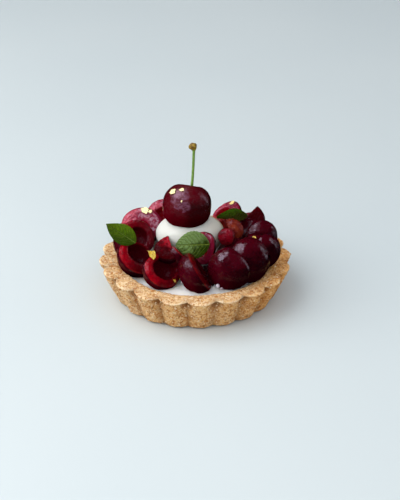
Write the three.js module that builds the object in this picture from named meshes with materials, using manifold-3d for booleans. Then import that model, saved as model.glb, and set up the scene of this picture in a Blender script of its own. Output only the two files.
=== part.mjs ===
// A cherry tart: a fluted shortcrust shell filled with cream, a scoop of cream in the middle with a whole
// cherry on its stalk, pitted cherry halves heaped round it, three mint leaves and flakes of gold leaf.
// Millimetres, +Z up, -Y towards the front, origin in the middle of the flat underside.
import * as THREE from "three";
import { mergeVertices } from "three/addons/utils/BufferGeometryUtils.js";
import Module from "manifold-3d";

const wasm = await Module();
wasm.setup();

// Space left between pieces that touch
const GAP = 0.3;

// Pastry shell
const SHELL_HEIGHT = 19.1;
const RIM_TIP_RADIUS = 50;
const RIM_GROOVE_RADIUS = 46.2;
const BASE_TIP_RADIUS = 41.2;
const BASE_GROOVE_RADIUS = 39;
const FLUTES = 20;
const FLUTE_TURN = 4;
const FLUTE_SHARPNESS = 0.85;
const STEPS_PER_FLUTE = 6;
const INNER_RIM_RADIUS = 38.2;
const INNER_FLOOR_RADIUS = 35.4;
const FLOOR_HEIGHT = 6;
const RIM_UNEVENNESS = 0.3;
const EDGE_BEVEL = 1.1;
const RIM_EDGE_WIDTH = 0.7;
const RIM_FLAT_RADIUS = 39.8;
const INNER_EDGE_DROP = 1.4;

// Cream in the shell
const CREAM_HEIGHT = 16.2;
const CREAM_WAVE = 0.25;
const CREAM_SEGMENTS = 20;

// Scoop of cream
const SCOOP_CENTRE = [-3, 4];
const SCOOP_HALF_LENGTH = 17.2;
const SCOOP_HALF_WIDTH = 14;
const SCOOP_WIDEST_HEIGHT = 31;
const SCOOP_TOP_HEIGHT = 41;
const SCOOP_FOOT = 0.5;
const SCOOP_LIP = 0.9;
const SCOOP_LIP_DIRECTION = 20;
const SCOOP_LIP_SPREAD = 0.5;
const SCOOP_SEGMENTS = 22;
const SCOOP_ROWS = 11;

// Whole cherry and its stalk
const CHERRY_CENTRE = [-4.2, 4, 46.4];
const CHERRY_HALF_WIDTH = 12.6;
const CHERRY_HALF_HEIGHT = 11.9;
const CHERRY_LEAN_BACK = 27;
const CHERRY_LEAN_RIGHT = 9;
const CHERRY_SQUARENESS = 0.92;
const STALK_DIMPLE_DEPTH = 3.4;
const STALK_DIMPLE_RADIUS = 3.6;
const BASE_DIMPLE_DEPTH = 1;
const BASE_DIMPLE_RADIUS = 4;
const CHERRY_SEGMENTS = 20;
const CHERRY_ROWS = 13;
const STALK_RADIUS = 0.7;
const STALK_PATH = [
  [-1.9, 8.4, 53.4],
  [-1.3, 9.8, 59.5],
  [-0.9, 11.2, 66.2],
  [-0.6, 12.2, 74.6],
];
const KNOB_LEAN = -20;
const KNOB_OUTLINE = [
  [0, -0.6],
  [0.9, -0.5],
  [1.1, 0.5],
  [1.6, 1.4],
  [2.1, 2.2],
  [1.8, 2.9],
  [0.8, 3.3],
  [0, 3.2],
];

// Pitted cherry halves, as shares of the half's radius
const HALF_SEGMENTS = 15;
const DOME_ROWS = 4;
const PIT_ROWS = 3;
const WIDEST_BELOW_CUT = 0.22;
const CUT_EDGE = [0.96, -0.1];
const CUT_CROWN = [0.78, 0.04];
const PIT_RIM = 0.55;
const PIT_WAIST_OF_RIM = 0.76;
const PIT_DEPTH = 0.6;
const PIT_FLOOR_LEFT = 2.6;
const STALK_END_DENT = 0.06;
const STALK_END_WIDTH = 0.5;

// Each half lies with the centre of its cut at `at`; its cut faces the azimuth and elevation in `faces`,
// and `turn` turns its stalk end within the cut. `pit` is the share of the radius at the pit's rim, and
// `pitOff` the shares by which the pit lies off the centre, level and up. A quarter has only the +X side
// of its half and no pit.
const HALVES = [
  [
    "half_front_left",
    {
      at: [-15.8, -23.8, 24.9], faces: [-45, 50], turn: 10,
      radius: 10.2, depth: 10.4, pit: 0.63, pitOff: [0.09, 0],
    },
  ],
  ["half_front_middle", { at: [2.9, -25.5, 25.1], faces: [10, 30], turn: 0, radius: 11.4, depth: 11.4 }],
  ["half_front_right", { at: [18.2, -23.8, 25.7], faces: [62, -8], turn: 30, radius: 11.1, depth: 11 }],
  [
    "half_left_front",
    {
      at: [-29.3, -11.6, 25.7], faces: [-36, 56], turn: -20,
      radius: 10.3, depth: 10.2, pit: 0.62, pitOff: [0.2, 0.08],
    },
  ],
  ["half_right_front", { at: [26.2, -17.3, 26.9], faces: [120, -20], turn: 60, radius: 11.4, depth: 11.5 }],
  ["half_right_middle", { at: [31.6, -8.7, 27.6], faces: [100, 0], turn: 15, radius: 9.8, depth: 5 }],
  ["half_right_outer", { at: [35.2, -9.6, 28.4], faces: [140, -10], turn: 40, radius: 8.7, depth: 7.5 }],
  ["half_right_back", { at: [33.6, 9, 26.5], faces: [115, -20], turn: 5, radius: 8.9, depth: 8.5 }],
  ["half_back_right_low", { at: [28.6, 14.9, 23.6], faces: [80, -40], turn: 20, radius: 9.4, depth: 8 }],
  [
    "half_back_right",
    {
      at: [16.3, 36.2, 27.5], faces: [-163, 62], turn: 0,
      radius: 8.5, depth: 8.5, pit: 0.5, pitOff: [0, -0.2],
    },
  ],
  ["half_left_inner", { at: [-29.8, 7.3, 27], faces: [-65, 42], turn: 25, radius: 9.7, depth: 6.5 }],
  [
    "half_left_back",
    {
      at: [-28.8, 21.1, 27.5], faces: [-112, 57], turn: -35,
      radius: 11.6, depth: 9.5, pit: 0.42, pitOff: [0.05, -0.2],
    },
  ],
  [
    "half_back_left",
    {
      at: [-16.5, 31.4, 29], faces: [-112, 57], turn: 20,
      radius: 10.6, depth: 9, pit: 0.52, pitOff: [0, -0.12],
    },
  ],
  ["half_left_outer", { at: [-35, -1.6, 26], faces: [5, 25], turn: 50, radius: 8.6, depth: 6.5 }],
  [
    "half_front_upright",
    { at: [3.6, -12, 30.7], faces: [-130, 24], turn: 0, radius: 7, depth: 5, tall: 1.25 },
  ],
  ["half_front_inner", { at: [-7, -14.8, 28.8], faces: [27, 40], turn: -30, radius: 6.6, depth: 8 }],
  ["half_back_middle", { at: [-1.3, 35.6, 25], faces: [80, 50], turn: 45, radius: 9.5, depth: 8 }],
  ["half_inner_right", { at: [12.6, 22.1, 26.6], faces: [80, 10], turn: -15, radius: 6.5, depth: 6 }],
  ["half_inner_low", { at: [19.5, -3.4, 18.4], faces: [180, -84], turn: 0, radius: 9.8, depth: 13 }],
  ["half_back_inner_left", { at: [-12.5, 21.5, 23.5], faces: [150, 55], turn: 10, radius: 9.2, depth: 8.2 }],
  ["half_back_inner_right", { at: [4.2, 24.2, 23.5], faces: [60, 60], turn: 70, radius: 8.8, depth: 8 }],
  ["half_back_right_outer", { at: [28, 28.5, 22], faces: [225, 30], turn: 35, radius: 8.4, depth: 7.4 }],
  [
    "small_round_right",
    { at: [16.1, -5.4, 33.8], faces: [80, -20], turn: 0, radius: 4.5, depth: 4.5, skinned: false },
  ],
];
const QUARTERS = [
  ["quarter_back_right", { at: [27.9, 22.6, 31.7], faces: [-81, 51], turn: -48, radius: 9.4, depth: 7 }],
  ["quarter_front_left", { at: [-12, -14.3, 32.9], faces: [-129, 70], turn: 230, radius: 9.2, depth: 8 }],
  ["quarter_inner_right", { at: [19.1, 3.3, 32.7], faces: [80, -20], turn: 150, radius: 6.2, depth: 6.5 }],
];

// Mint leaves, from the stalk end to the tip. `widest` is the power that draws the widest place towards the
// stalk end when it is small, and `fullness` the power that rounds the outline when it is small.
const LEAF_THICKNESS = 0.5;
const LEAF_COLUMNS = 11;
const LEAF_ROWS = 4;
const LEAF_TOOTH = 0.05;
const LEAVES = [
  {
    name: "leaf_front",
    from: [7.3, -15.4, 34.6],
    to: [-9.9, -15, 33.7],
    facing: [0.06, -0.9, 0.43],
    width: 14,
    arch: 1.2,
    fold: 0.12,
    widest: 0.86,
    fullness: 0.7,
  },
  {
    name: "leaf_left",
    from: [-30.4, -9, 31.8],
    to: [-45.8, 3.4, 36.2],
    facing: [-0.25, -0.62, 0.75],
    width: 10.5,
    arch: 0.8,
    fold: 0.2,
    widest: 0.72,
    fullness: 0.85,
  },
  {
    name: "leaf_right",
    from: [27.4, 14.4, 36.2],
    to: [11.2, 12.2, 35.6],
    facing: [0, -0.05, 1],
    width: 12.2,
    arch: 1.8,
    fold: -0.15,
    widest: 0.72,
    fullness: 0.85,
  },
];

// Flakes of gold leaf: on a half, `turn` is the angle in its cut, `out` the share of its radius and `tip` the
// degrees by which a flake stands up
const FLAKE_THICKNESS = 0.6;
const FLAKE_SIDES = 5;
const FLAKES = [
  { on: "half_left_back", turn: 94, out: 0.7, size: 2.2 },
  { on: "half_left_back", turn: 70, out: 0.74, size: 1.2 },
  { on: "half_front_left", turn: 106, out: 0.84, size: 3, tip: -38 },
  { on: "half_front_left", turn: -80, out: 0.79, size: 1.1 },
  { on: "half_back_right", turn: 115, out: 0.7, size: 1.5 },
  { on: "half_right_middle", turn: 75, out: 0.887, size: 1.5, onSkin: true },
];
const CHERRY_FLAKES = [
  { azimuth: -139, height: 28, size: 2.1 },
  { azimuth: -115, height: 37, size: 1.2 },
  { azimuth: -107, height: 7, size: 0.7 },
];

// Finishes: colour, roughness, metalness
const PASTRY = new THREE.MeshStandardMaterial({ color: 0xc79a63, roughness: 0.9, metalness: 0 });
const CREAM = new THREE.MeshStandardMaterial({ color: 0xf4f2ea, roughness: 0.55, metalness: 0 });
const SKIN = new THREE.MeshStandardMaterial({ color: 0x4a0a1c, roughness: 0.18, metalness: 0 });
const FLESH = new THREE.MeshStandardMaterial({ color: 0x8a1420, roughness: 0.3, metalness: 0 });
const STALK = new THREE.MeshStandardMaterial({ color: 0x6f9a3a, roughness: 0.5, metalness: 0 });
const LEAF = new THREE.MeshStandardMaterial({ color: 0x3c7a2c, roughness: 0.5, metalness: 0 });

const radians = THREE.MathUtils.degToRad;

// A solid turned about +Z: point(row, angle) gives the radius and height of each row all the way round,
// from the lowest point on the axis, up the outside and back to the axis.
function turned(rows, segments, point, start = 0) {
  const line = Array.from({ length: rows }, () => new THREE.Vector2(1, 0));
  const geometry = new THREE.LatheGeometry(line, segments);
  const position = geometry.getAttribute("position");
  for (let i = 0; i <= segments; i++) {
    const angle = start + (i * 2 * Math.PI) / segments;
    for (let row = 0; row < rows; row++) {
      const [radius, height] = point(row, angle);
      position.setXYZ(i * rows + row, radius * Math.cos(angle), radius * Math.sin(angle), height);
    }
  }
  return geometry;
}

// The geometry with one vertex at each corner, and nothing but positions
function welded(geometry) {
  const bare = geometry.clone();
  bare.deleteAttribute("normal");
  bare.deleteAttribute("uv");
  return mergeVertices(bare, 1e-4);
}

function solidOf(geometry) {
  const merged = welded(geometry);
  const vertProperties = merged.getAttribute("position").array;
  const triVerts = new Uint32Array(merged.index.array);
  return new wasm.Manifold(new wasm.Mesh({ numProp: 3, vertProperties, triVerts }));
}

function geometryOf(solid) {
  const { vertProperties, triVerts } = solid.getMesh();
  const geometry = new THREE.BufferGeometry();
  geometry.setAttribute("position", new THREE.BufferAttribute(vertProperties, 3));
  geometry.setIndex(new THREE.BufferAttribute(triVerts, 1));
  return geometry;
}

// The same solid, swollen by the gap that its neighbours keep
function swollen(solid) {
  const geometry = geometryOf(solid);
  geometry.computeVertexNormals();
  const position = geometry.getAttribute("position");
  const normal = geometry.getAttribute("normal");
  for (let i = 0; i < position.count; i++) {
    position.setXYZ(
      i,
      position.getX(i) + GAP * normal.getX(i),
      position.getY(i) + GAP * normal.getY(i),
      position.getZ(i) + GAP * normal.getZ(i),
    );
  }
  return solidOf(geometry);
}

// Cutting leaves scraps where pieces only just meet: the largest body is the piece
function largestBody(solid) {
  return solid.decompose().reduce((best, body) => (body.volume() > best.volume() ? body : best));
}

// Frame of a half: +Z along the way its cut faces, +X level, then turned within the cut
function cutFrame({ at, faces, turn }) {
  const [azimuth, elevation] = faces.map(radians);
  const out = new THREE.Vector3(
    Math.cos(elevation) * Math.cos(azimuth),
    Math.cos(elevation) * Math.sin(azimuth),
    Math.sin(elevation),
  );
  const level = new THREE.Vector3(-Math.sin(azimuth), Math.cos(azimuth), 0);
  const up = new THREE.Vector3().crossVectors(out, level);
  const frame = new THREE.Matrix4().makeBasis(level, up, out);
  frame.multiply(new THREE.Matrix4().makeRotationZ(radians(turn)));
  return frame.setPosition(...at);
}

// Pastry shell
function fluteReach(angle) {
  const wave = Math.cos((FLUTES / 2) * (angle - radians(FLUTE_TURN)));
  return Math.abs(wave) ** FLUTE_SHARPNESS;
}

function rimUnevenness(angle) {
  return RIM_UNEVENNESS * (Math.sin(2 * angle + 0.8) + 0.7 * Math.sin(5 * angle + 2.1));
}

function shellWall(angle, share) {
  const reach = fluteReach(angle);
  const base = THREE.MathUtils.lerp(BASE_GROOVE_RADIUS, BASE_TIP_RADIUS, reach);
  const rim = THREE.MathUtils.lerp(RIM_GROOVE_RADIUS, RIM_TIP_RADIUS, reach);
  return THREE.MathUtils.lerp(base, rim, share);
}

function shellInside(height) {
  const share = (height - FLOOR_HEIGHT) / (SHELL_HEIGHT - FLOOR_HEIGHT);
  return THREE.MathUtils.lerp(INNER_FLOOR_RADIUS, INNER_RIM_RADIUS, share);
}

function pastryShell() {
  const innerEdge = SHELL_HEIGHT - INNER_EDGE_DROP;
  const rows = [
    () => [0, 0],
    (angle) => [shellWall(angle, 0) - EDGE_BEVEL, 0],
    (angle) => [shellWall(angle, EDGE_BEVEL / SHELL_HEIGHT), EDGE_BEVEL],
    (angle) => [shellWall(angle, 1), SHELL_HEIGHT - EDGE_BEVEL + rimUnevenness(angle)],
    (angle) => [shellWall(angle, 1) - RIM_EDGE_WIDTH, SHELL_HEIGHT + rimUnevenness(angle)],
    (angle) => [RIM_FLAT_RADIUS, SHELL_HEIGHT - 0.2 + rimUnevenness(angle) / 2],
    () => [shellInside(innerEdge), innerEdge],
    () => [INNER_FLOOR_RADIUS, FLOOR_HEIGHT],
    () => [0, FLOOR_HEIGHT],
  ];
  const segments = FLUTES * STEPS_PER_FLUTE;
  return solidOf(turned(rows.length, segments, (row, angle) => rows[row](angle), radians(FLUTE_TURN)));
}

// Cream in the shell, up to the level that shows
function creamFilling() {
  const floor = FLOOR_HEIGHT + GAP;
  const ripple = (angle, radius) => CREAM_WAVE * Math.sin(3 * angle + radius / 6);
  const top = [32, 16];
  const rows = [
    () => [0, floor],
    () => [shellInside(floor) - GAP - 0.2, floor],
    () => [shellInside(CREAM_HEIGHT) - GAP, CREAM_HEIGHT],
    ...top.map((radius) => (angle) => [radius, CREAM_HEIGHT + ripple(angle, radius)]),
    () => [0, CREAM_HEIGHT],
  ];
  return solidOf(turned(rows.length, CREAM_SEGMENTS, (row, angle) => rows[row](angle)));
}

// Scoop of cream: an egg on a narrower foot, with the lip that the spoon left on its right
function creamScoop() {
  const foot = CREAM_HEIGHT + CREAM_WAVE + GAP;
  const lip = radians(SCOOP_LIP_DIRECTION);
  const squash = SCOOP_HALF_WIDTH / SCOOP_HALF_LENGTH;
  const width = (height) => {
    if (height < SCOOP_WIDEST_HEIGHT) {
      const rise = (height - foot) / (SCOOP_WIDEST_HEIGHT - foot);
      return THREE.MathUtils.lerp(SCOOP_FOOT, 1, Math.sin((rise * Math.PI) / 2));
    }
    const rise = (height - SCOOP_WIDEST_HEIGHT) / (SCOOP_TOP_HEIGHT - SCOOP_WIDEST_HEIGHT);
    return Math.sqrt(Math.max(0, 1 - rise ** 2));
  };
  const point = (row, angle) => {
    if (row === 0) return [0, foot];
    const share = (row - 1) / (SCOOP_ROWS - 2);
    const height = THREE.MathUtils.lerp(foot, SCOOP_TOP_HEIGHT, Math.sin((share * Math.PI) / 2));
    const round = squash / Math.hypot(squash * Math.cos(angle), Math.sin(angle));
    const ridge = SCOOP_LIP * Math.exp(-(((angle - lip) / SCOOP_LIP_SPREAD) ** 2));
    return [(SCOOP_HALF_LENGTH * round + ridge) * width(height), height];
  };
  const geometry = turned(SCOOP_ROWS, SCOOP_SEGMENTS, point, -Math.PI + lip);
  geometry.translate(...SCOOP_CENTRE, 0);
  return solidOf(geometry);
}

// Whole cherry: rounder at the shoulders than an ellipsoid, with a dimple for the stalk
function cherrySurface(elevation) {
  const cosine = Math.max(0, Math.cos(elevation));
  const radius = CHERRY_HALF_WIDTH * cosine ** CHERRY_SQUARENESS;
  const round = Math.abs(Math.sin(elevation)) ** CHERRY_SQUARENESS;
  let height = CHERRY_HALF_HEIGHT * Math.sign(elevation) * round;
  if (elevation > 0) height -= STALK_DIMPLE_DEPTH * Math.exp(-((radius / STALK_DIMPLE_RADIUS) ** 2));
  else height += BASE_DIMPLE_DEPTH * Math.exp(-((radius / BASE_DIMPLE_RADIUS) ** 2));
  return [radius, height];
}

function cherryFrame() {
  const lean = new THREE.Euler(-radians(CHERRY_LEAN_BACK), radians(CHERRY_LEAN_RIGHT), 0);
  return new THREE.Matrix4().makeRotationFromEuler(lean).setPosition(...CHERRY_CENTRE);
}

function wholeCherry() {
  const elevation = (row) => -Math.PI / 2 + (Math.PI * row) / (CHERRY_ROWS - 1);
  const geometry = turned(CHERRY_ROWS, CHERRY_SEGMENTS, (row) => cherrySurface(elevation(row)));
  return solidOf(geometry.applyMatrix4(cherryFrame()));
}

// Stalk: a thin bent rod with the woody knob that held it to the twig
function cherryStalk() {
  const path = new THREE.CatmullRomCurve3(STALK_PATH.map((point) => new THREE.Vector3(...point)));
  const section = new THREE.Shape().absarc(0, 0, STALK_RADIUS, 0, 2 * Math.PI);
  const rod = new THREE.ExtrudeGeometry(section, { extrudePath: path, steps: 10, curveSegments: 4 });
  const knob = new THREE.LatheGeometry(KNOB_OUTLINE.map((corner) => new THREE.Vector2(...corner)), 9);
  knob.rotateX(Math.PI / 2);
  knob.rotateY(radians(KNOB_LEAN));
  knob.translate(...STALK_PATH.at(-1));
  return solidOf(rod).add(solidOf(knob));
}

// Outline of a cut: slightly out of round, with a dent at the stalk end
function cutOutline(angle, { tall = 1 }, seed) {
  const fromStalk = Math.atan2(Math.sin(angle - Math.PI / 2), Math.cos(angle - Math.PI / 2));
  const dent = STALK_END_DENT * Math.exp(-((fromStalk / STALK_END_WIDTH) ** 2));
  const uneven = 0.025 * Math.cos(2 * angle + seed) + 0.015 * Math.cos(3 * angle + 2 * seed);
  const stretch = Math.hypot(Math.cos(angle), tall * Math.sin(angle));
  return (1 - dent + uneven) * stretch;
}

// Rows of a cut half, from the pole of its dome over the cut to its middle or the floor of its pit
function halfRows({ radius, depth, pit = PIT_RIM }, pitted) {
  const widest = -WIDEST_BELOW_CUT * radius;
  const rows = [];
  for (let i = 0; i <= DOME_ROWS; i++) {
    const rise = (i * Math.PI) / 2 / DOME_ROWS;
    rows.push([radius * Math.sin(rise), widest - (depth + widest) * Math.cos(rise)]);
  }
  rows.push(CUT_EDGE.map((share) => share * radius));
  rows.push(CUT_CROWN.map((share) => share * radius));
  if (!pitted) return [...rows, [0, CUT_CROWN[1] * radius]];
  const floor = -Math.min(PIT_DEPTH * radius, depth - PIT_FLOOR_LEFT);
  rows.push([pit * radius, 0]);
  rows.push([PIT_WAIST_OF_RIM * pit * radius, 0.7 * floor]);
  rows.push([0, floor]);
  return rows;
}

function cherryHalf(half, seed, pitted = true) {
  const rows = halfRows(half, pitted);
  const point = (row, angle) => [rows[row][0] * cutOutline(angle, half, seed), rows[row][1]];
  const geometry = turned(rows.length, HALF_SEGMENTS, point);
  if (pitted) movePit(geometry, rows.length, half);
  return solidOf(geometry);
}

// Moves the pit's rows off the centre of the cut
function movePit(geometry, rows, { radius, turn, pitOff = [0, 0] }) {
  const [across, up] = pitOff.map((share) => share * radius);
  const angle = -radians(turn);
  const x = across * Math.cos(angle) - up * Math.sin(angle);
  const y = across * Math.sin(angle) + up * Math.cos(angle);
  const position = geometry.getAttribute("position");
  for (let i = 0; i < position.count; i++) {
    if (i % rows < rows - PIT_ROWS) continue;
    position.setXY(i, position.getX(i) + x, position.getY(i) + y);
  }
}

function cherryQuarter(quarter, seed) {
  const size = 4 * quarter.radius;
  const away = new THREE.BoxGeometry(size, size, size).translate(-size / 2, 0, 0);
  return cherryHalf(quarter, seed, false).subtract(solidOf(away));
}

// Flake of gold leaf: a thin crumpled plate with an uneven outline, lying in its XY plane
function goldFlake(size, seed) {
  const shape = new THREE.Shape();
  for (let i = 0; i < FLAKE_SIDES; i++) {
    const angle = (i * 2 * Math.PI) / FLAKE_SIDES;
    const reach = size * (1 + 0.35 * Math.sin(5 * i + seed));
    const corner = [reach * Math.cos(angle), 0.8 * reach * Math.sin(angle)];
    if (i) shape.lineTo(...corner);
    else shape.moveTo(...corner);
  }
  const plate = new THREE.ExtrudeGeometry(shape, { depth: FLAKE_THICKNESS, bevelEnabled: false });
  return plate.translate(0, 0, -FLAKE_THICKNESS / 2);
}

// Height and outward slope of a half's surface at a share of its radius
function halfSurface({ radius, depth }, out, onSkin) {
  if (onSkin) {
    const widest = WIDEST_BELOW_CUT * radius;
    const height = -widest - (depth - widest) * Math.sqrt(1 - out ** 2);
    return [height, Math.PI - Math.atan2(radius * Math.sqrt(1 - out ** 2), (depth - widest) * out)];
  }
  const [crown, crownHeight] = CUT_CROWN;
  const [edge, edgeHeight] = CUT_EDGE;
  const share = Math.max(0, (out - crown) / (edge - crown));
  const height = radius * THREE.MathUtils.lerp(crownHeight, edgeHeight, share);
  return [height, out > crown ? Math.atan2(crownHeight - edgeHeight, edge - crown) : 0];
}

function withFlakes(solid, name, half) {
  return FLAKES.filter((flake) => flake.on === name).reduce((sum, flake, i) => {
    const [height, slope] = halfSurface(half, flake.out, flake.onSkin);
    const tip = radians(flake.tip ?? 0);
    const plate = goldFlake(flake.size, i + flake.turn);
    plate.rotateY(slope + tip);
    plate.translate(flake.out * half.radius, 0, height + 0.6 * flake.size * Math.abs(Math.sin(tip)));
    plate.rotateZ(radians(flake.turn - half.turn));
    return sum.add(solidOf(plate));
  }, solid);
}

function withCherryFlakes(cherry) {
  return CHERRY_FLAKES.reduce((sum, flake, i) => {
    const [radius, height] = cherrySurface(radians(flake.height));
    const plate = goldFlake(flake.size, 2 * i);
    plate.rotateY(radians(90 - flake.height));
    plate.translate(radius, 0, height);
    plate.rotateZ(radians(flake.azimuth));
    return sum.add(solidOf(plate.applyMatrix4(cherryFrame())));
  }, cherry);
}

// Mint leaf: one grid for the upper face and the same grid for the lower, joined round the edge
function mintLeaf({ from, to, facing, width, arch, fold, widest, fullness }) {
  const start = new THREE.Vector3(...from);
  const along = new THREE.Vector3(...to).sub(start);
  const length = along.length();
  along.normalize();
  const across = new THREE.Vector3().crossVectors(new THREE.Vector3(...facing), along).normalize();
  const out = new THREE.Vector3().crossVectors(along, across);
  const surface = (column, row, side) => {
    const u = column / LEAF_COLUMNS;
    const v = (2 * row) / LEAF_ROWS - 1;
    const tooth = 1 + LEAF_TOOTH * (column % 2 ? 1 : -1);
    const half = Math.max(0.35, (width / 2) * Math.sin(Math.PI * u ** widest) ** fullness * tooth);
    const rise = arch * (1 - (2 * u - 1) ** 2) + fold * Math.abs(v) * half;
    const wave = 0.25 * Math.sin(9 * u + 2 * v) * Math.abs(v);
    return start
      .clone()
      .addScaledVector(along, u * length)
      .addScaledVector(across, v * half)
      .addScaledVector(out, rise + wave + (side * LEAF_THICKNESS) / 2);
  };
  const points = [];
  const index = (column, row, side) => {
    const first = side > 0 ? 0 : LEAF_COLUMNS + 1;
    return (first + column) * (LEAF_ROWS + 1) + row;
  };
  for (const side of [1, -1]) {
    for (let column = 0; column <= LEAF_COLUMNS; column++) {
      for (let row = 0; row <= LEAF_ROWS; row++) points.push(...surface(column, row, side).toArray());
    }
  }
  const triangles = [];
  const quad = (a, b, c, d) => triangles.push(a, b, c, a, c, d);
  const last = LEAF_ROWS;
  for (let column = 0; column < LEAF_COLUMNS; column++) {
    for (let row = 0; row < LEAF_ROWS; row++) {
      const corners = (side) => [
        index(column, row, side),
        index(column + 1, row, side),
        index(column + 1, row + 1, side),
        index(column, row + 1, side),
      ];
      quad(...corners(1));
      const [a, b, c, d] = corners(-1);
      triangles.push(a, c, b, a, d, c);
    }
    const next = column + 1;
    quad(index(column, 0, -1), index(next, 0, -1), index(next, 0, 1), index(column, 0, 1));
    quad(index(next, last, -1), index(column, last, -1), index(column, last, 1), index(next, last, 1));
  }
  for (let row = 0; row < LEAF_ROWS; row++) {
    const end = LEAF_COLUMNS;
    quad(index(0, row + 1, -1), index(0, row, -1), index(0, row, 1), index(0, row + 1, 1));
    quad(index(end, row, -1), index(end, row + 1, -1), index(end, row + 1, 1), index(end, row, 1));
  }
  const geometry = new THREE.BufferGeometry();
  geometry.setAttribute("position", new THREE.Float32BufferAttribute(points, 3));
  geometry.setIndex(triangles);
  return solidOf(geometry);
}

// The tart, piece by piece: a later piece is cut round the earlier ones that it meets
const tart = new THREE.Group();
const placed = [];

function addPiece(name, solid, material, frame = new THREE.Matrix4()) {
  const cut = largestBody(placed.reduce((rest, neighbour) => rest.subtract(neighbour), solid));
  placed.push(swollen(cut));
  const geometry = geometryOf(cut).applyMatrix4(frame.clone().invert());
  geometry.computeVertexNormals();
  const mesh = new THREE.Mesh(geometry, material);
  mesh.name = name;
  frame.decompose(mesh.position, mesh.quaternion, mesh.scale);
  tart.add(mesh);
}

function inPlace(solid, frame) {
  return solidOf(geometryOf(solid).applyMatrix4(frame));
}

addPiece("pastry_shell", pastryShell(), PASTRY);
addPiece("cherry_stalk", cherryStalk(), STALK);
addPiece("cherry_whole", withCherryFlakes(wholeCherry()), SKIN);
addPiece("cream_scoop", creamScoop(), CREAM);
for (const leaf of LEAVES) addPiece(leaf.name, mintLeaf(leaf), LEAF);
HALVES.forEach(([name, half], i) => {
  const frame = cutFrame(half);
  const solid = withFlakes(cherryHalf(half, i), name, half);
  addPiece(name, inPlace(solid, frame), half.skinned === false ? FLESH : SKIN, frame);
});
QUARTERS.forEach(([name, quarter], i) => {
  const frame = cutFrame(quarter);
  addPiece(name, inPlace(cherryQuarter(quarter, i), frame), FLESH, frame);
});
addPiece("cream_filling", creamFilling(), CREAM);

export default tart;
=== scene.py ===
# A cherry tart: a fluted crust with cream, a scoop of cream with a whole cherry on it, cherry halves heaped
# round the scoop, mint leaves and flakes of gold leaf. Sizes and places are in millimetres, +Z up and -Y to
# the front, and angles are in degrees where nothing else is said. Meshes are scaled to metres as they are
# made.
import math

import bmesh
import bpy
import numpy as np
from mathutils import Euler, Matrix, Vector
from mathutils.bvhtree import BVHTree


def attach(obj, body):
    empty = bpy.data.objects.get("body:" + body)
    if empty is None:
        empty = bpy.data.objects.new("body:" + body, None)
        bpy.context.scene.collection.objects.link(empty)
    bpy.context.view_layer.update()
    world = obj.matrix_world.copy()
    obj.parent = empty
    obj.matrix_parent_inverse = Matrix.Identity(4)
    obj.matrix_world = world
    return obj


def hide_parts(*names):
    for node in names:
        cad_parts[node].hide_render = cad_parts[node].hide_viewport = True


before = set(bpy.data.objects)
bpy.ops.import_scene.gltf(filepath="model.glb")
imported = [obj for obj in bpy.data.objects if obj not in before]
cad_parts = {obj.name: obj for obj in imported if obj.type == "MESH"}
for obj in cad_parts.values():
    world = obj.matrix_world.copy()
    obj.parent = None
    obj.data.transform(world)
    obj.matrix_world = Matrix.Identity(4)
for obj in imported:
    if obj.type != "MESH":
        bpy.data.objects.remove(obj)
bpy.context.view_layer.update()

MM = 0.001
WOBBLE_WAVES = 8

# Crust
SHELL_HEIGHT = 19.1
RIM_TIP_RADIUS = 50
RIM_GROOVE_RADIUS = 46.2
BASE_TIP_RADIUS = 41.2
BASE_GROOVE_RADIUS = 39
FLUTES = 20
FLUTE_TURN = 4
FLUTE_SHARPNESS = 0.85
INNER_RIM_RADIUS = 38.2
INNER_FLOOR_RADIUS = 35.4
FLOOR_HEIGHT = 6
EDGE_BEVEL = 1.1
RIM_UNEVENNESS = 0.3
ARCH_DEPTH = 1.5
FOLD_RELIEF = 0.5
CRUMB_RELIEF = 0.42
HOLE_DEPTH = 0.6
CRUST_SEGMENTS = 720
CRUST_STEP = 0.3844
# The crust's colours, as linear red, green and blue like all colours here, and its grains
CRUST_GOLDS = ((0.77, 0.505, 0.25), (0.70, 0.42, 0.175))
PALE_DOUGH = (0.84, 0.63, 0.375)
BRAN_CLOUD = (0.46, 0.175, 0.035)
BRAN_STRAND = (0.52, 0.20, 0.045)
BRAN_SPOT = (0.46, 0.155, 0.028)
PALE_CRINKLE = (0.98, 0.87, 0.66)
FLOUR_AND_HIGHLIGHT = (0.98, 0.82, 0.56)
WALL_TAN_AND_SHADE = (0.96, 0.82, 0.60)
PAINTED_RIGHT_SHADE = (0.98, 0.78, 0.52)
HOLE_SHADE = (0.26, 0.115, 0.035)
GROOVE_BROWN_AND_SHADE = (0.22, 0.085, 0.025)
BRAN_TONES = ((0.42, 0.17, 0.045), (0.56, 0.27, 0.09))
CRUMB_TONES = ((0.66, 0.45, 0.24), (0.84, 0.68, 0.46))
BRAN_GRAINS = dict(per_square_mm=0.09, smallest=0.3, largest=0.62, flatness=0.3, seed=11)
CRUMB_GRAINS = dict(per_square_mm=0.12, smallest=0.2, largest=0.5, flatness=0.7, seed=23)

# Cream
CREAM_HEIGHT = 16.2
CREAM_WAVE = 0.25
CREAM_LIFT = 0.55
CREAM_LIFT_REACH = 1.1
CREAM_SEGMENTS = 300
CREAM_RINGS = 96
CREAM_TONES = ((0.96, 0.96, 0.93), (0.94, 0.93, 0.89))
CHERRY_STAIN = (0.72, 0.22, 0.26)
PAINTED_LIP_SHADE = (0.50, 0.33, 0.15)

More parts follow.
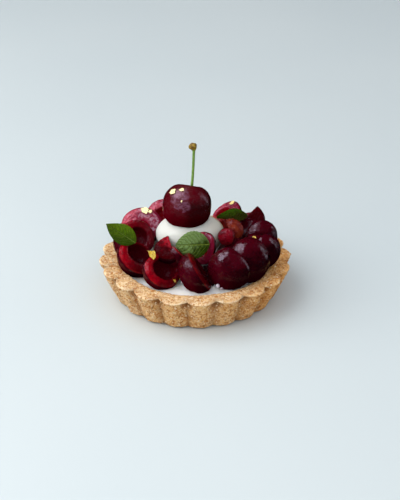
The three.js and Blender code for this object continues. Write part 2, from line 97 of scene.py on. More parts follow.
# Scoop of cream, with the lip's spread in radians
SCOOP_CENTRE = (-3, 4)
SCOOP_HALF_LENGTH = 17.2
SCOOP_HALF_WIDTH = 14
SCOOP_WIDEST_HEIGHT = 31
SCOOP_TOP_HEIGHT = 41
SCOOP_FOOT = 0.5
SCOOP_LIP = 0.9
SCOOP_LIP_DIRECTION = 20
SCOOP_LIP_SPREAD = 0.5
SCOOP_LIP_SLOPE = 0.955
SCOOP_SEGMENTS = 220
SCOOP_RINGS = 120
# Painted shade: the scoop's cream is a darker copy of the filling's, to hold back the stronger light on it
SCOOP_PAINTED_SHADE_TONES = ((0.69, 0.71, 0.68), (0.66, 0.67, 0.63))

# Whole cherry, with a painted reflection on its front: a patch of mauve streaks
CHERRY_CENTRE = (-4.2, 4, 46.4)
CHERRY_HALF_WIDTH = 12.6
CHERRY_HALF_HEIGHT = 11.9
CHERRY_LEAN_BACK = 27
CHERRY_LEAN_RIGHT = 9
CHERRY_SQUARENESS = 0.92
CHERRY_SEGMENTS = 128
CHERRY_RINGS = 88
CHERRY_SWELLS = ((0.14, 9, 21), (0.04, 3, 22))
STALK_DIMPLE_DEPTH = 3.4
STALK_DIMPLE_RADIUS = 3.6
BASE_DIMPLE_DEPTH = 1
BASE_DIMPLE_RADIUS = 4
PAINTED_REFLECTION_CENTRE = (-7.3, -5.4, 53.8)
PAINTED_REFLECTION_REACH = 7.5
PAINTED_REFLECTION_COLOUR = (0.14, 0.050, 0.085)
CHERRY_SKIN_TONES = ((0.028, 0.0002, 0.001), (0.080, 0.0003, 0.004))
SKIN_SPECK = (0.16, 0.006, 0.02)

# Stalk, and its knob as (radius, height above the end of the rod)
STALK_PATH = ((-1.9, 8.4, 53.4), (-1.3, 9.8, 59.5), (-0.9, 11.2, 66.2), (-0.6, 12.2, 74.6))
STALK_FOOT_RADIUS = 0.62
STALK_RADIUS = 0.68
STALK_NECK_RADIUS = 0.8
STALK_SEGMENTS = 28
STALK_RINGS = 110
ROD_STEPS = 60
KNOB_LEAN = -20
KNOB_OUTLINE = ((1.1, 0.5), (1.6, 1.4), (2.1, 2.2), (1.8, 2.9), (0.8, 3.3))
ROD_GREENS = ((0.20, 0.36, 0.055), (0.115, 0.22, 0.03))
KNOB_BROWNS = ((0.34, 0.22, 0.012), (0.13, 0.065, 0.004))

# Pitted halves, as shares of the half's radius
WIDEST_BELOW_CUT = 0.22
CUT_EDGE = (0.96, -0.1)
CUT_CROWN = (0.78, 0.04)
PIT_RIM = 0.55
PIT_WAIST_OF_RIM = 0.76
PIT_DEPTH = 0.6
STALK_END_DENT = 0.06

# The least flesh below a pit, the width of the dent in radians, and the meshes of the halves and cut pieces
PIT_FLOOR_LEFT = 2.6
STALK_END_WIDTH = 0.5
HALF_SEGMENTS = 84
HALF_RINGS = 74
QUARTER_VOXEL = 0.22
# Relief as layers of height, width and seed: swells all over, and torn fibres on the flesh
HALF_SWELLS = ((0.16, 7, 0), (0.05, 2.4, 50))
HALF_FIBRES = ((0.12, 1.7, 90), (0.05, 0.8, 130))
QUARTER_FIBRES = ((0.12, 1.6, 0), (0.06, 0.8, 5))

# Each half: the centre of its cut, the azimuth and elevation that the cut faces, the turn of its stalk end
# within the cut, radius and depth. `pit` is the share of the radius at the pit's rim, and `pit_off` the
# shares by which the pit lies off the centre, level and up. `lit_from` is the way to the light whose painted
# light it carries, where that isn't the window's side.
WINDOW_SIDE = (-1, 0, 0)
HALVES = {
    "half_front_left": dict(
        at=(-15.8, -23.8, 24.9), faces=(-45, 50), turn=10, radius=10.2, depth=10.4, pit=0.63,
        pit_off=(0.09, 0)
    ),
    "half_front_middle": dict(at=(2.9, -25.5, 25.1), faces=(10, 30), turn=0, radius=11.4, depth=11.4),
    "half_front_right": dict(at=(18.2, -23.8, 25.7), faces=(62, -8), turn=30, radius=11.1, depth=11),
    "half_left_front": dict(
        at=(-29.3, -11.6, 25.7), faces=(-36, 56), turn=-20, radius=10.3, depth=10.2, pit=0.62,
        pit_off=(0.2, 0.08), lit_from=(-0.75, 0.2, 0.63)
    ),
    "half_right_front": dict(at=(26.2, -17.3, 26.9), faces=(120, -20), turn=60, radius=11.4, depth=11.5),
    "half_right_middle": dict(at=(31.6, -8.7, 27.6), faces=(100, 0), turn=15, radius=9.8, depth=5),
    "half_right_outer": dict(at=(35.2, -9.6, 28.4), faces=(140, -10), turn=40, radius=8.7, depth=7.5),
    "half_right_back": dict(at=(33.6, 9, 26.5), faces=(115, -20), turn=5, radius=8.9, depth=8.5),
    "half_back_right_low": dict(at=(28.6, 14.9, 23.6), faces=(80, -40), turn=20, radius=9.4, depth=8),
    "half_back_right": dict(
        at=(16.3, 36.2, 27.5), faces=(-163, 62), turn=0, radius=8.5, depth=8.5, pit=0.5, pit_off=(0, -0.2)
    ),
    "half_left_inner": dict(at=(-29.8, 7.3, 27), faces=(-65, 42), turn=25, radius=9.7, depth=6.5),
    "half_left_back": dict(
        at=(-28.8, 21.1, 27.5), faces=(-112, 57), turn=-35, radius=11.6, depth=9.5, pit=0.42,
        pit_off=(0.05, -0.2)
    ),
    "half_back_left": dict(
        at=(-16.5, 31.4, 29), faces=(-112, 57), turn=20, radius=10.6, depth=9, pit=0.52, pit_off=(0, -0.12)
    ),
    "half_left_outer": dict(at=(-35, -1.6, 26), faces=(5, 25), turn=50, radius=8.6, depth=6.5),
    "half_front_upright": dict(at=(3.6, -12, 30.7), faces=(-130, 24), turn=0, radius=7, depth=5, tall=1.25),
    "half_front_inner": dict(at=(-7, -14.8, 28.8), faces=(27, 40), turn=-30, radius=6.6, depth=8),
    "half_back_middle": dict(at=(-1.3, 35.6, 25), faces=(80, 50), turn=45, radius=9.5, depth=8),
    "half_inner_right": dict(at=(12.6, 22.1, 26.6), faces=(80, 10), turn=-15, radius=6.5, depth=6),
    "half_inner_low": dict(at=(19.5, -3.4, 18.4), faces=(180, -84), turn=0, radius=9.8, depth=13),
    "half_back_inner_left": dict(at=(-12.5, 21.5, 23.5), faces=(150, 55), turn=10, radius=9.2, depth=8.2),
    "half_back_inner_right": dict(at=(4.2, 24.2, 23.5), faces=(60, 60), turn=70, radius=8.8, depth=8),
    "half_back_right_outer": dict(at=(28, 28.5, 22), faces=(225, 30), turn=35, radius=8.4, depth=7.4),
    "small_round_right": dict(at=(16.1, -5.4, 33.8), faces=(80, -20), turn=0, radius=4.5, depth=4.5),
}
# A cut piece is the +X side of such a half, cut again along the stalk, without a pit. `lit` is how much
# painted light its upper part carries.
QUARTERS = {
    "quarter_back_right": dict(
        at=(27.9, 22.6, 31.7), faces=(-81, 51), turn=-48, radius=9.4, depth=7, lit=0.35
    ),
    "quarter_front_left": dict(at=(-12, -14.3, 32.9), faces=(-129, 70), turn=230, radius=9.2, depth=8),
    "quarter_inner_right": dict(at=(19.1, 3.3, 32.7), faces=(80, -20), turn=150, radius=6.2, depth=6.5),
}

# Cut cherries: their skin, the rim of the cut, and each kind of flesh by its colour where painted light falls
# on the ring, in painted shade and in the pit, how torn it is and how it shines
SKIN_GLOSS = 0.8
HALF_SKIN_TONES = ((0.011, 0.0004, 0.0018), (0.048, 0.0007, 0.0045))
CUT_RIM = (0.34, 0.012, 0.010)
CUT_FLESH = {
    "cut_cherry": dict(lit_flesh=(0.26, 0.0005, 0.006), shaded_flesh=(0.085, 0.0004, 0.003), pit=(0.05, 0.0005, 0.003)),
    # Painted reflection: the pink and mauve of this flesh stands in for the window's sheen on cut faces that
    # look up
    "sheen_painted_cherry": dict(
        lit_flesh=(0.50, 0.060, 0.095), shaded_flesh=(0.17, 0.004, 0.022), pit=(0.24, 0.0005, 0.006), torn=0.9, gloss=0.9
    ),
    "deep_cherry": dict(
        lit_flesh=(0.24, 0.0012, 0.008), shaded_flesh=(0.10, 0.0006, 0.004), pit=(0.06, 0.0004, 0.003), torn=0.7, gloss=0.3
    ),
    # Painted shade: a darker copy of the flesh for cut faces that turn away from the light
    "shade_painted_cherry": dict(
        lit_flesh=(0.085, 0.0005, 0.002), shaded_flesh=(0.045, 0.0004, 0.002), pit=(0.025, 0.0004, 0.002),
        torn=0.3, gloss=0.07
    ),
    "wedge_cherry": dict(
        lit_flesh=(0.30, 0.005, 0.014), shaded_flesh=(0.036, 0.0003, 0.0014), pit=(0.04, 0.0004, 0.002),
        torn=0.8, gloss=0.05
    ),
}
PEELED_FLESH = {
    "amber_flesh": dict(light=(0.22, 0.028, 0.010), dark=(0.11, 0.005, 0.005)),
    "crimson_flesh": dict(light=(0.21, 0.002, 0.010), dark=(0.09, 0.0008, 0.005)),
    # Painted light: this flesh is brighter to make up for the shade where its piece lies
    "garnet_flesh": dict(light=(0.44, 0.024, 0.014), dark=(0.19, 0.004, 0.004)),
}
# The pieces of each flesh; all others are of the first
PIECES_OF_FLESH = {
    "sheen_painted_cherry": ("half_left_back", "half_back_left", "half_back_right", "half_front_upright"),
    "deep_cherry": ("half_left_inner", "half_front_inner"),
    "shade_painted_cherry": ("half_front_middle", "half_right_middle"),
    "wedge_cherry": ("quarter_back_right", "quarter_front_left"),
    "amber_flesh": ("quarter_inner_right",),
    "crimson_flesh": ("small_round_right",),
    "garnet_flesh": ("half_inner_right",),
}

# Mint leaves, from the stalk end to the tip
LEAF_THICKNESS = 0.45
LEAF_COLUMNS = 110
LEAF_ROWS = 44
LEAF_TEETH = 10.8
LEAF_VEINS = 8
LEAVES = {
    "leaf_front": dict(
        start=(7.3, -15.4, 34.6), end=(-9.9, -15, 33.7), facing=(0.06, -0.9, 0.43),
        width=14, arch=1.2, fold=0.12, widest=0.86, fullness=0.7,
    ),
    "leaf_left": dict(
        start=(-30.4, -9, 31.8), end=(-45.8, 3.4, 36.2), facing=(-0.25, -0.62, 0.75),
        width=10.5, arch=0.8, fold=0.2, widest=0.72, fullness=0.85,
    ),
    "leaf_right": dict(
        start=(27.4, 14.4, 36.2), end=(11.2, 12.2, 35.6), facing=(0, -0.05, 1),
        width=12.2, arch=1.8, fold=-0.15, widest=0.72, fullness=0.85,
    ),
}
# Each leaf's finish, and the green of its blade, of its shaded side and of its veins
LEAF_GREENS = {
    "leaf_front": ("mint_pale", (0.165, 0.255, 0.085), (0.020, 0.038, 0.001), (0.20, 0.27, 0.035)),
    "leaf_left": ("mint_green", (0.070, 0.124, 0.003), (0.024, 0.050, 0.001), (0.13, 0.20, 0.03)),
    "leaf_right": ("mint_dark", (0.032, 0.080, 0.0006), (0.022, 0.020, 0.0005), (0.038, 0.06, 0.001)),
}

# Gold leaf. On a half: the angle in its cut, the share of its radius, the flake's size, the degrees that it
# stands up and how much painted highlight it carries. On the whole cherry: azimuth, height in degrees and
# size.
FLAKE_LIFT = 0.4
FLAKE_CORNERS = 5
FLAKE_HALF_THICKNESS = 0.04
FLAKE_SEGMENTS = 56
FLAKE_CRUMPLE = ((0.15, 1.5, 3), (0.06, 0.7, 4))
GOLDS = ((0.70, 0.42, 0.015), (0.95, 0.72, 0.16))
PAINTED_HIGHLIGHT_GOLD = (0.95, 0.84, 0.48)
FLAKES = (
    dict(on="half_left_back", turn=94, out=0.7, size=2.2, pale=1),
    dict(on="half_left_back", turn=70, out=0.74, size=1.2, pale=1),
    dict(on="half_front_left", turn=106, out=0.84, size=3.0, tip=-38),
    dict(on="half_front_left", turn=-80, out=0.79, size=1.1),
    dict(on="half_back_right", turn=115, out=0.7, size=1.5, pale=0.5),
    dict(on="half_right_middle", turn=75, out=0.887, size=1.5, on_skin=True),
)
CHERRY_FLAKES = (
    dict(azimuth=-139, height=28, size=2.1),
    dict(azimuth=-115, height=37, size=1.2),
    dict(azimuth=-107, height=7, size=0.7),
)

# Syrup: the pool between the front halves, then drops as place and radius
POOL_CENTRE = (7.2, -15)
POOL_HALF_WIDTH = 5.5
POOL_HALF_LENGTH = 12.5
POOL_HEIGHT = 0.8
SYRUP_BEADS = ((11.3, -31.6, 19.6, 1.2), (13.2, -32.4, 18.6, 0.6), (-6.6, -29.2, 20.4, 0.45))
POOL_SEGMENTS = 72
POOL_TOP_RINGS = 14
POOL_UNDER_RINGS = 8
BEAD_SEGMENTS = 28
BEAD_RINGS = 16
# Painted glint: the drops are pale instead of clear
BEAD_GLINT_TONES = ((0.72, 0.70, 0.78), (0.40, 0.24, 0.32))
# Dark juice, and painted shade in the gap between the front halves
JUICE_AND_SHADE_TONES = ((0.055, 0.0006, 0.004), (0.018, 0.0003, 0.0012))

# Floor, just below the tart
FLOOR_TOP = -0.3
FLOOR_BOTTOM = -2
FLOOR_RADIUS = 3000
FLOOR_INNER_RADIUS = 40
FLOOR_SEGMENTS = 64
FLOOR_TONES = ((0.58, 0.65, 0.68), (0.60, 0.665, 0.69))

# The photograph's view: the camera's place in metres and its lens
CAMERA_PLACE = (0.0025, -0.6396, 0.3648)
CAMERA_DEGREES_DOWN = 28.12
SENSOR_WIDTH = 36
FOCAL_LENGTH_IN_PIXELS = 1400
IMAGE_HEIGHT_IN_PIXELS = 500

# Lights: the way to each from the middle of the tart, and its distance and size in metres
TART_MIDDLE = (0, 0, 0.03)
PANE = dict(
    direction=(-0.52, 0.12, 0.85), distance=0.8, size=(0.38, 0.7), power=3.8, colour=(0.97, 0.95, 1.0)
)
PANE_SHIFT = 0.22
FAR_PANE = dict(
    direction=(0.93, 0.35, 0.3), distance=0.8, size=(0.2, 0.7), power=0.8, colour=(0.9, 0.92, 1.0)
)
WINDOW_GLOW = dict(
    direction=(-0.72, -0.12, 0.68), distance=0.8, size=(1.0, 1.0), power=7.2, colour=(1.0, 0.985, 0.95)
)
ROOM_GLOW = dict(
    direction=(0.0, -0.85, 0.6), distance=0.9, size=(1.4, 0.8), power=2.6, colour=(1.0, 1.0, 1.0)
)
SKY_COLOUR = (0.95, 0.97, 1.0)
SKY_STRENGTH = 0.66


# Numbers that vary over a surface
def wobble(points, size, seed):
    """Smooth uneven values, about -1 to 1, that swell and sink over `size` millimetres."""
    random = np.random.default_rng(seed)
    total = np.zeros(points.shape[:-1])
    for _ in range(WOBBLE_WAVES):
        direction = random.normal(size=3)
        direction *= 2 * math.pi * random.uniform(0.7, 1.3) / (size * np.linalg.norm(direction))
        total += np.sin(points @ direction + random.uniform(0, 2 * math.pi))
    return total / math.sqrt(WOBBLE_WAVES) / 1.4


def relief(points, layers, seed=0):
    """Several wobbles added up, each given as its height, its width and its own seed."""
    return sum(height * wobble(points, size, seed + own) for height, size, own in layers)


def smoothstep(low, high, value):
    """0 at low, 1 at high, and an eased curve between them."""
    share = np.clip((value - low) / (high - low), 0, 1)
    return share * share * (3 - 2 * share)


def bell(value, width):
    """1 where the value is 0, falling off over the width."""
    return np.exp(-((value / width) ** 2))


# Lines
def length_along(line):
    """Distance along the line at each of its points."""
    return np.concatenate([[0], np.cumsum(np.linalg.norm(np.diff(line, axis=0), axis=1))])


def at_lengths(line, length, wanted):
    """The line's columns at the wanted distances along it."""
    return np.stack([np.interp(wanted, length, column) for column in line.T], axis=1)


def curve_through(points, count):
    """`count` points spaced evenly along a smooth curve through the given points."""
    points = np.array(points, float)
    padded = np.vstack([2 * points[0] - points[1], points, 2 * points[-1] - points[-2]])
    steps_between = 24
    share = np.linspace(0, 1, steps_between, endpoint=False)[:, None]
    fine = []
    for a, b, c, d in zip(padded, padded[1:], padded[2:], padded[3:]):
        linear = (c - a) * share
        square = (2 * a - 5 * b + 4 * c - d) * share**2
        cube = (3 * b - a - 3 * c + d) * share**3
        fine.append(b + 0.5 * (linear + square + cube))
    line = np.vstack(fine + [points[-1:]])
    length = length_along(line)
    return at_lengths(line, length, np.linspace(0, length[-1], count))


# Meshes
def add_object(name, points, faces, material, values=None):
    """A smooth mesh object from points in millimetres, with named values at its points."""
    mesh = bpy.data.meshes.new(name)
    mesh.from_pydata((np.asarray(points) * MM).tolist(), [], faces)
    for key, numbers in (values or {}).items():
        attribute = mesh.attributes.new(key, "FLOAT", "POINT")
        attribute.data.foreach_set("value", np.ravel(numbers).astype(np.float32))
    mesh.shade_smooth()
    mesh.materials.append(material)
    return placed(name, mesh)


def placed(name, data):
    """A new object in the scene that holds the mesh, camera or light."""
    made = bpy.data.objects.new(name, data)
    bpy.context.scene.collection.objects.link(made)
    return made


def evaluated_mesh(thing):
    """The plain mesh that an object's modifiers make of it."""
    graph = bpy.context.evaluated_depsgraph_get()
    graph.update()
    return bpy.data.meshes.new_from_object(thing.evaluated_get(graph), depsgraph=graph)


def joined(parts):
    """The points and faces of several (points, faces) parts as one."""
    points = []
    faces = []
    for part_points, part_faces in parts:
        first = sum(len(part) for part in points)
        faces += [tuple(first + index for index in face) for face in part_faces]
        points.append(part_points)
    return np.vstack(points), faces


def ring_faces(rows, segments):
    """Faces of closed rings between two poles: point 0, then the rings, then the last point."""
    faces = []
    last = 1 + rows * segments
    for s in range(segments):
        after = (s + 1) % segments
        faces.append((0, 1 + after, 1 + s))
        top = 1 + (rows - 1) * segments
        faces.append((top + s, top + after, last))
        for r in range(rows - 1):
            low = 1 + r * segments
            high = low + segments
            faces.append((low + s, low + after, high + after, high + s))
    return faces


def with_poles(rings):
    """The rings' points with a point in the middle of the first and of the last ring."""
    first = rings[0].mean(axis=0, keepdims=True)
    last = rings[-1].mean(axis=0, keepdims=True)
    return np.vstack([first, rings.reshape(-1, rings.shape[-1]), last])


def with_pole_values(values, first=0, last=0):
    """A value for each point of the rings, with those of the two poles."""
    return np.concatenate([[first], np.ravel(values), [last]])


def ring_mesh(rings):
    """Points and faces of closed rings and their poles."""
    return with_poles(rings), ring_faces(len(rings), rings.shape[1])


def ring_normals(rings):
    """Outward direction at each point of the rings."""
    around = np.roll(rings, -1, axis=1) - np.roll(rings, 1, axis=1)
    along = np.gradient(rings, axis=0)
    normal = np.cross(around, along)
    return normal / np.maximum(np.linalg.norm(normal, axis=-1, keepdims=True), 1e-9)


def pushed_out(rings, distance):
    """The rings moved outwards by a distance at each point."""
    return rings + ring_normals(rings) * distance[:, :, None]


def turned_rings(line, segments, reach=None):
    """Rings of a line of (radius, height) turned about +Z; reach scales the radius at each angle."""
    angles = np.linspace(0, 2 * math.pi, segments, endpoint=False)
    radius = line[:, :1] * (np.ones(segments) if reach is None else reach(angles))[None, :]
    height = np.repeat(line[:, 1:], segments, axis=1)
    return np.stack([radius * np.cos(angles), radius * np.sin(angles), height], axis=-1)


# Node trees
def node(tree, kind, inputs=None, output=0, **settings):
    """A new node's output: each input is a value or another node's output."""
    made = tree.nodes.new(kind)
    for name, value in settings.items():
        setattr(made, name, value)
    for key, value in (inputs or {}).items():
        if isinstance(value, bpy.types.NodeSocket):
            tree.links.new(value, made.inputs[key])
        else:
            made.inputs[key].default_value = value
    return made.outputs[output]


def maths(tree, operation, a, b=0.0):
    return node(tree, "ShaderNodeMath", {0: a, 1: b}, operation=operation)


def times(tree, *factors):
    product = factors[0]
    for factor in factors[1:]:
        product = maths(tree, "MULTIPLY", product, factor)
    return product


def plus(tree, a, b):
    return maths(tree, "ADD", a, b)


def minus(tree, a, b):
    return maths(tree, "SUBTRACT", a, b)


def scaled(tree, direction, length):
    return node(tree, "ShaderNodeVectorMath", {0: direction, "Scale": length}, operation="SCALE")


def part_of(tree, vector, axis):
    """The vector's X, Y or Z."""
    return node(tree, "ShaderNodeSeparateXYZ", {0: vector}, output=axis)


def opaque(colour):
    """A colour of three numbers as a socket takes it; another node's output stays as it is."""
    return (*colour, 1) if isinstance(colour, tuple) else colour


def colour_mix(tree, share, a, b, blend="MIX"):
    inputs = {0: share, 6: opaque(a), 7: opaque(b)}
    return node(tree, "ShaderNodeMix", inputs, output=2, data_type="RGBA", blend_type=blend)


def ranged(tree, value, low, high, to_low=0.0, to_high=1.0):
    """The value's place between low and high, eased in and out."""
    inputs = {0: value, 1: low, 2: high, 3: to_low, 4: to_high}
    return node(tree, "ShaderNodeMapRange", inputs, interpolation_type="SMOOTHSTEP")


def varied(tree, pattern, low, high):
    """A number that follows a noise from low to high."""
    return ranged(tree, pattern, 0.3, 0.7, low, high)


def clouded(tree, pattern, low, high):
    """A colour that follows a noise from one colour to the other."""
    return colour_mix(tree, ranged(tree, pattern, 0.35, 0.65), low, high)


def noise(tree, where, size, detail=3.0, roughness=0.55, warp=0.0):
    """Noise whose swells are about `size` millimetres wide, drawn out into curls by its warp."""
    inputs = {
        "Vector": where,
        "Scale": 1 / (size * MM),
        "Detail": detail,
        "Roughness": roughness,
        "Distortion": warp,
    }
    return node(tree, "ShaderNodeTexNoise", inputs)


def cells(tree, where, size, feature="F1"):
    """Distance to the nearest of many scattered points, about `size` millimetres apart."""
    return node(tree, "ShaderNodeTexVoronoi", {"Vector": where, "Scale": 1 / (size * MM)}, feature=feature)


def line_at(tree, pattern, level, outer, inner=0.0):
    """1 within `inner` of where the pattern crosses the level, and 0 outside `outer`."""
    return ranged(tree, maths(tree, "ABSOLUTE", minus(tree, pattern, level)), outer, inner)


def value_of(tree, name):
    """The value that a mesh carries at its points under this name."""
    return node(tree, "ShaderNodeAttribute", output=2, attribute_name=name)


def flattened(tree, where, squash):
    """Coordinates that make a pattern's swells lower than they are wide."""
    return node(tree, "ShaderNodeMapping", {"Vector": where, "Scale": (1, 1, squash)})


def bumped(tree, heights):
    """Bump from several (height, distance in millimetres, strength) layers."""
    normal = None
    for height, distance, strength in heights:
        inputs = {"Height": height, "Distance": distance * MM, "Strength": strength}
        if normal is not None:
            inputs["Normal"] = normal
        normal = node(tree, "ShaderNodeBump", inputs)
    return normal


def new_material(name):
    """An empty material, its tree and its object coordinates."""
    material = bpy.data.materials.new(name)
    material.use_nodes = True
    material.node_tree.nodes.clear()
    where = node(material.node_tree, "ShaderNodeTexCoord", output="Object")
    return material, material.node_tree, where


def surface(tree, colour, roughness, normal=None, **others):
    """The shader. What is the same all over is set on its own socket, and what varies is linked."""
    inputs = {"Base Color": colour, "Roughness": roughness}
    if normal is not None:
        inputs["Normal"] = normal
    for name, value in others.items():
        socket = name.replace("_", " ").title().replace("Ior", "IOR")
        inputs[socket] = opaque(value) if name.endswith("tint") else value
    shader = node(tree, "ShaderNodeBsdfPrincipled", inputs)
    end = tree.nodes.new("ShaderNodeOutputMaterial")
    tree.links.new(shader, end.inputs["Surface"])


# Finish of the crust
def dough_colour(tree, where, broad, ridge):
    """Golden dough with paler patches, bran in clouds, strands and spots, pale crinkles, and a floury lip
    that is partly painted highlight.
    """
    patches = noise(tree, where, 2.6, warp=0.6)
    bran = noise(tree, where, 2.8, roughness=0.65, warp=1.2)
    strand = line_at(tree, noise(tree, where, 4.2, detail=2, warp=2.6), 0.47, 0.03, 0.01)
    ragged = minus(tree, noise(tree, where, 1.1, detail=2, warp=1.0), 0.5)
    spots = plus(tree, cells(tree, where, 2.5), ragged)
    # Flour and painted highlight along the rim's outer edge
    floury_and_highlit = times(tree, value_of(tree, "lip"), ranged(tree, patches, 0.3, 0.6, 0.1, 0.6))
    colour = clouded(tree, broad, *CRUST_GOLDS)
    colour = colour_mix(tree, ranged(tree, patches, 0.45, 0.7), colour, PALE_DOUGH)
    colour = colour_mix(tree, ranged(tree, bran, 0.54, 0.575, 0, 0.9), colour, BRAN_CLOUD)
    colour = colour_mix(tree, times(tree, strand, 0.8), colour, BRAN_STRAND)
    colour = colour_mix(tree, ranged(tree, spots, 0.30, 0.20, 0, 0.85), colour, BRAN_SPOT)
    colour = colour_mix(tree, times(tree, ridge, 0.8), colour, PALE_CRINKLE)
    return colour_mix(tree, floury_and_highlit, colour, FLOUR_AND_HIGHLIGHT)


def baked_colour(tree, where, broad, colour):
    """The dough's colour, tanned on the wall with painted shade growing to the right, painted shade in holes
    and arches, and brown with painted shade in the grooves.
    """
    wall = value_of(tree, "wall")
    across = part_of(tree, where, "X")
    # Tan on the wall, with painted shade that grows from the lit left side towards the right
    tan_and_shade = times(tree, wall, ranged(tree, across, -0.045, -0.008, 0.2, 0.8))
    colour = colour_mix(tree, tan_and_shade, colour, WALL_TAN_AND_SHADE, "MULTIPLY")
    # Painted shade in small holes of the dough
    holes = ranged(tree, noise(tree, where, 1.9, detail=2, roughness=0.6, warp=0.8), 0.39, 0.31)
    holes = times(tree, holes, ranged(tree, wall, 0.0, 1.0, 0.15, 0.75))
    colour = colour_mix(tree, holes, colour, HOLE_SHADE)
    # Grooves browned and darkened with painted shade, and painted shade under the rim's arches
    grooves = times(tree, value_of(tree, "groove"), varied(tree, broad, 0.3, 0.65))
    browning_and_shade = maths(tree, "MAXIMUM", grooves, times(tree, value_of(tree, "arch"), 0.85))
    colour = colour_mix(tree, browning_and_shade, colour, GROOVE_BROWN_AND_SHADE)
    # Painted shade: darker and warmer towards the right, away from the light
    return colour_mix(tree, ranged(tree, across, 0.012, 0.046), colour, PAINTED_RIGHT_SHADE, "MULTIPLY")


def crust_finish():
    """Matt baked dough, crinkled and grainy."""
    material, tree, where = new_material("crust")
    broad = noise(tree, where, 9)
    crinkles = noise(tree, where, 3.6, detail=2, warp=2.4)
    ridge = line_at(tree, crinkles, 0.52, 0.035)
    colour = baked_colour(tree, where, broad, dough_colour(tree, where, broad, ridge))
    grain = noise(tree, where, 0.5)
    normal = bumped(tree, ((crinkles, 0.8, 0.5), (ridge, 0.2, 0.5), (grain, 0.2, 0.5)))
    surface(tree, colour, varied(tree, grain, 0.7, 0.95), normal, ior=1.4, specular_ior_level=0.2)
    return material


def grain_finish(name, tones):
    """Dull flecks or crumbs in two tones."""
    material, tree, where = new_material(name)
    colour = clouded(tree, noise(tree, where, 3), *tones)
    surface(tree, colour, varied(tree, noise(tree, where, 0.4), 0.6, 0.9), ior=1.4)
    return material


# Finish of the cream
def cream_finish(name, tones):
    """Soft cream, pink where cherries stand in it, with painted shade along the scoop's lip and on its right
    side.
    """
    material, tree, where = new_material(name)
    soft = noise(tree, where, 7)
    colour = colour_mix(tree, ranged(tree, soft, 0.3, 0.7), *tones)
    colour = colour_mix(tree, value_of(tree, "stain"), colour, CHERRY_STAIN)
    # Painted shade along the scoop's lip and on its right side
    colour = colour_mix(tree, value_of(tree, "lip"), colour, PAINTED_LIP_SHADE)
    smear = noise(tree, where, 3.5, detail=2, warp=1)
    normal = bumped(tree, ((smear, 0.3, 0.35), (noise(tree, where, 0.6), 0.05, 0.4)))
    surface(
        tree,
        colour,
        varied(tree, soft, 0.42, 0.6),
        normal,
        ior=1.45,
        subsurface_weight=0.7,
        subsurface_radius=(1.0, 0.95, 0.85),
        subsurface_scale=6 * MM,
    )
    return material


# Finishes of the cherries
def facing_up(tree):
    """1 where a surface faces up, 0 on its side and -1 on its underside."""
    return part_of(tree, node(tree, "ShaderNodeNewGeometry", output="Normal"), "Z")


def wetness(tree):
    """1 where a surface faces up or sideways, and 0 on its underside, where the juice has run off."""
    return ranged(tree, facing_up(tree), -0.2, 0.25)


def syrup_film(tree, where, size, thin, thick=1.0):
    """`thick` where the film of syrup is whole, and `thin` in its level streaks and gaps."""
    film = noise(tree, flattened(tree, where, 1.8), size, detail=4, roughness=0.6, warp=0.5)
    return ranged(tree, film, 0.42, 0.56, thin, thick)


def skin_colour(tree, where, dark, light):
    """Very dark red, redder in clouds, with painted light on top and on the side towards the light, and tiny
    paler specks.
    """
    clouds = noise(tree, where, 9, detail=2)
    # Painted light: the upper side and the side towards the light are redder
    painted_top_light = maths(tree, "MAXIMUM", ranged(tree, facing_up(tree), 0.0, 0.95), value_of(tree, "painted_light"))
    lit = times(tree, plus(tree, clouds, painted_top_light), 0.5)
    colour = colour_mix(tree, ranged(tree, lit, 0.3, 0.75), dark, light)
    specks = ranged(tree, cells(tree, where, 0.9), 0.16, 0.06)
    return colour_mix(tree, times(tree, specks, 0.2), colour, SKIN_SPECK)


def painted_reflection_streaks(tree, where):
    """Share of painted reflection: level streaks inside the uneven patch around its centre."""
    streaks = noise(tree, flattened(tree, where, 2.6), 3.0, roughness=0.6, warp=1.6)
    bare = ranged(tree, noise(tree, where, 4), 0.35, 0.65, 0.0, 0.7)
    patch = ranged(tree, minus(tree, value_of(tree, "painted_reflection"), bare), 0.0, 0.4)
    return times(tree, patch, ranged(tree, streaks, 0.46, 0.54, 0.15, 0.8))


def whole_cherry_finish():
    """Skin with a sharp reflection under a broad soft one, and a painted reflection: a patch of mauve
    streaks.
    """
    material, tree, where = new_material("cherry_skin")
    wet = wetness(tree)
    colour = skin_colour(tree, where, *CHERRY_SKIN_TONES)
    # Painted reflection: mauve streaks where the window's broad reflection would lie
    colour = colour_mix(tree, painted_reflection_streaks(tree, where), colour, PAINTED_REFLECTION_COLOUR)
    wrinkles = noise(tree, where, 1.6, detail=2, warp=0.8)
    swells = noise(tree, where, 3.6, detail=2)
    rugged = ranged(tree, noise(tree, where, 14), 0.35, 0.6, 0.25, 0.9)
    surface(
        tree,
        colour,
        varied(tree, noise(tree, where, 2.5), 0.14, 0.26),
        bumped(tree, ((swells, 0.5, 0.4), (wrinkles, 0.32, rugged))),
        ior=1.45,
        specular_ior_level=times(tree, wet, 0.5),
        specular_tint=(0.95, 0.62, 0.85),
        coat_weight=times(tree, wet, syrup_film(tree, where, 3.0, 0.05, 0.55)),
        coat_roughness=0.36,
        coat_tint=(1.0, 0.78, 0.9),
    )
    return material


def on_skin_or_flesh(tree, on_skin, on_flesh):
    """One number on the skin and another on the cut flesh."""
    return ranged(tree, value_of(tree, "flesh"), 0.0, 1.0, on_skin, on_flesh)


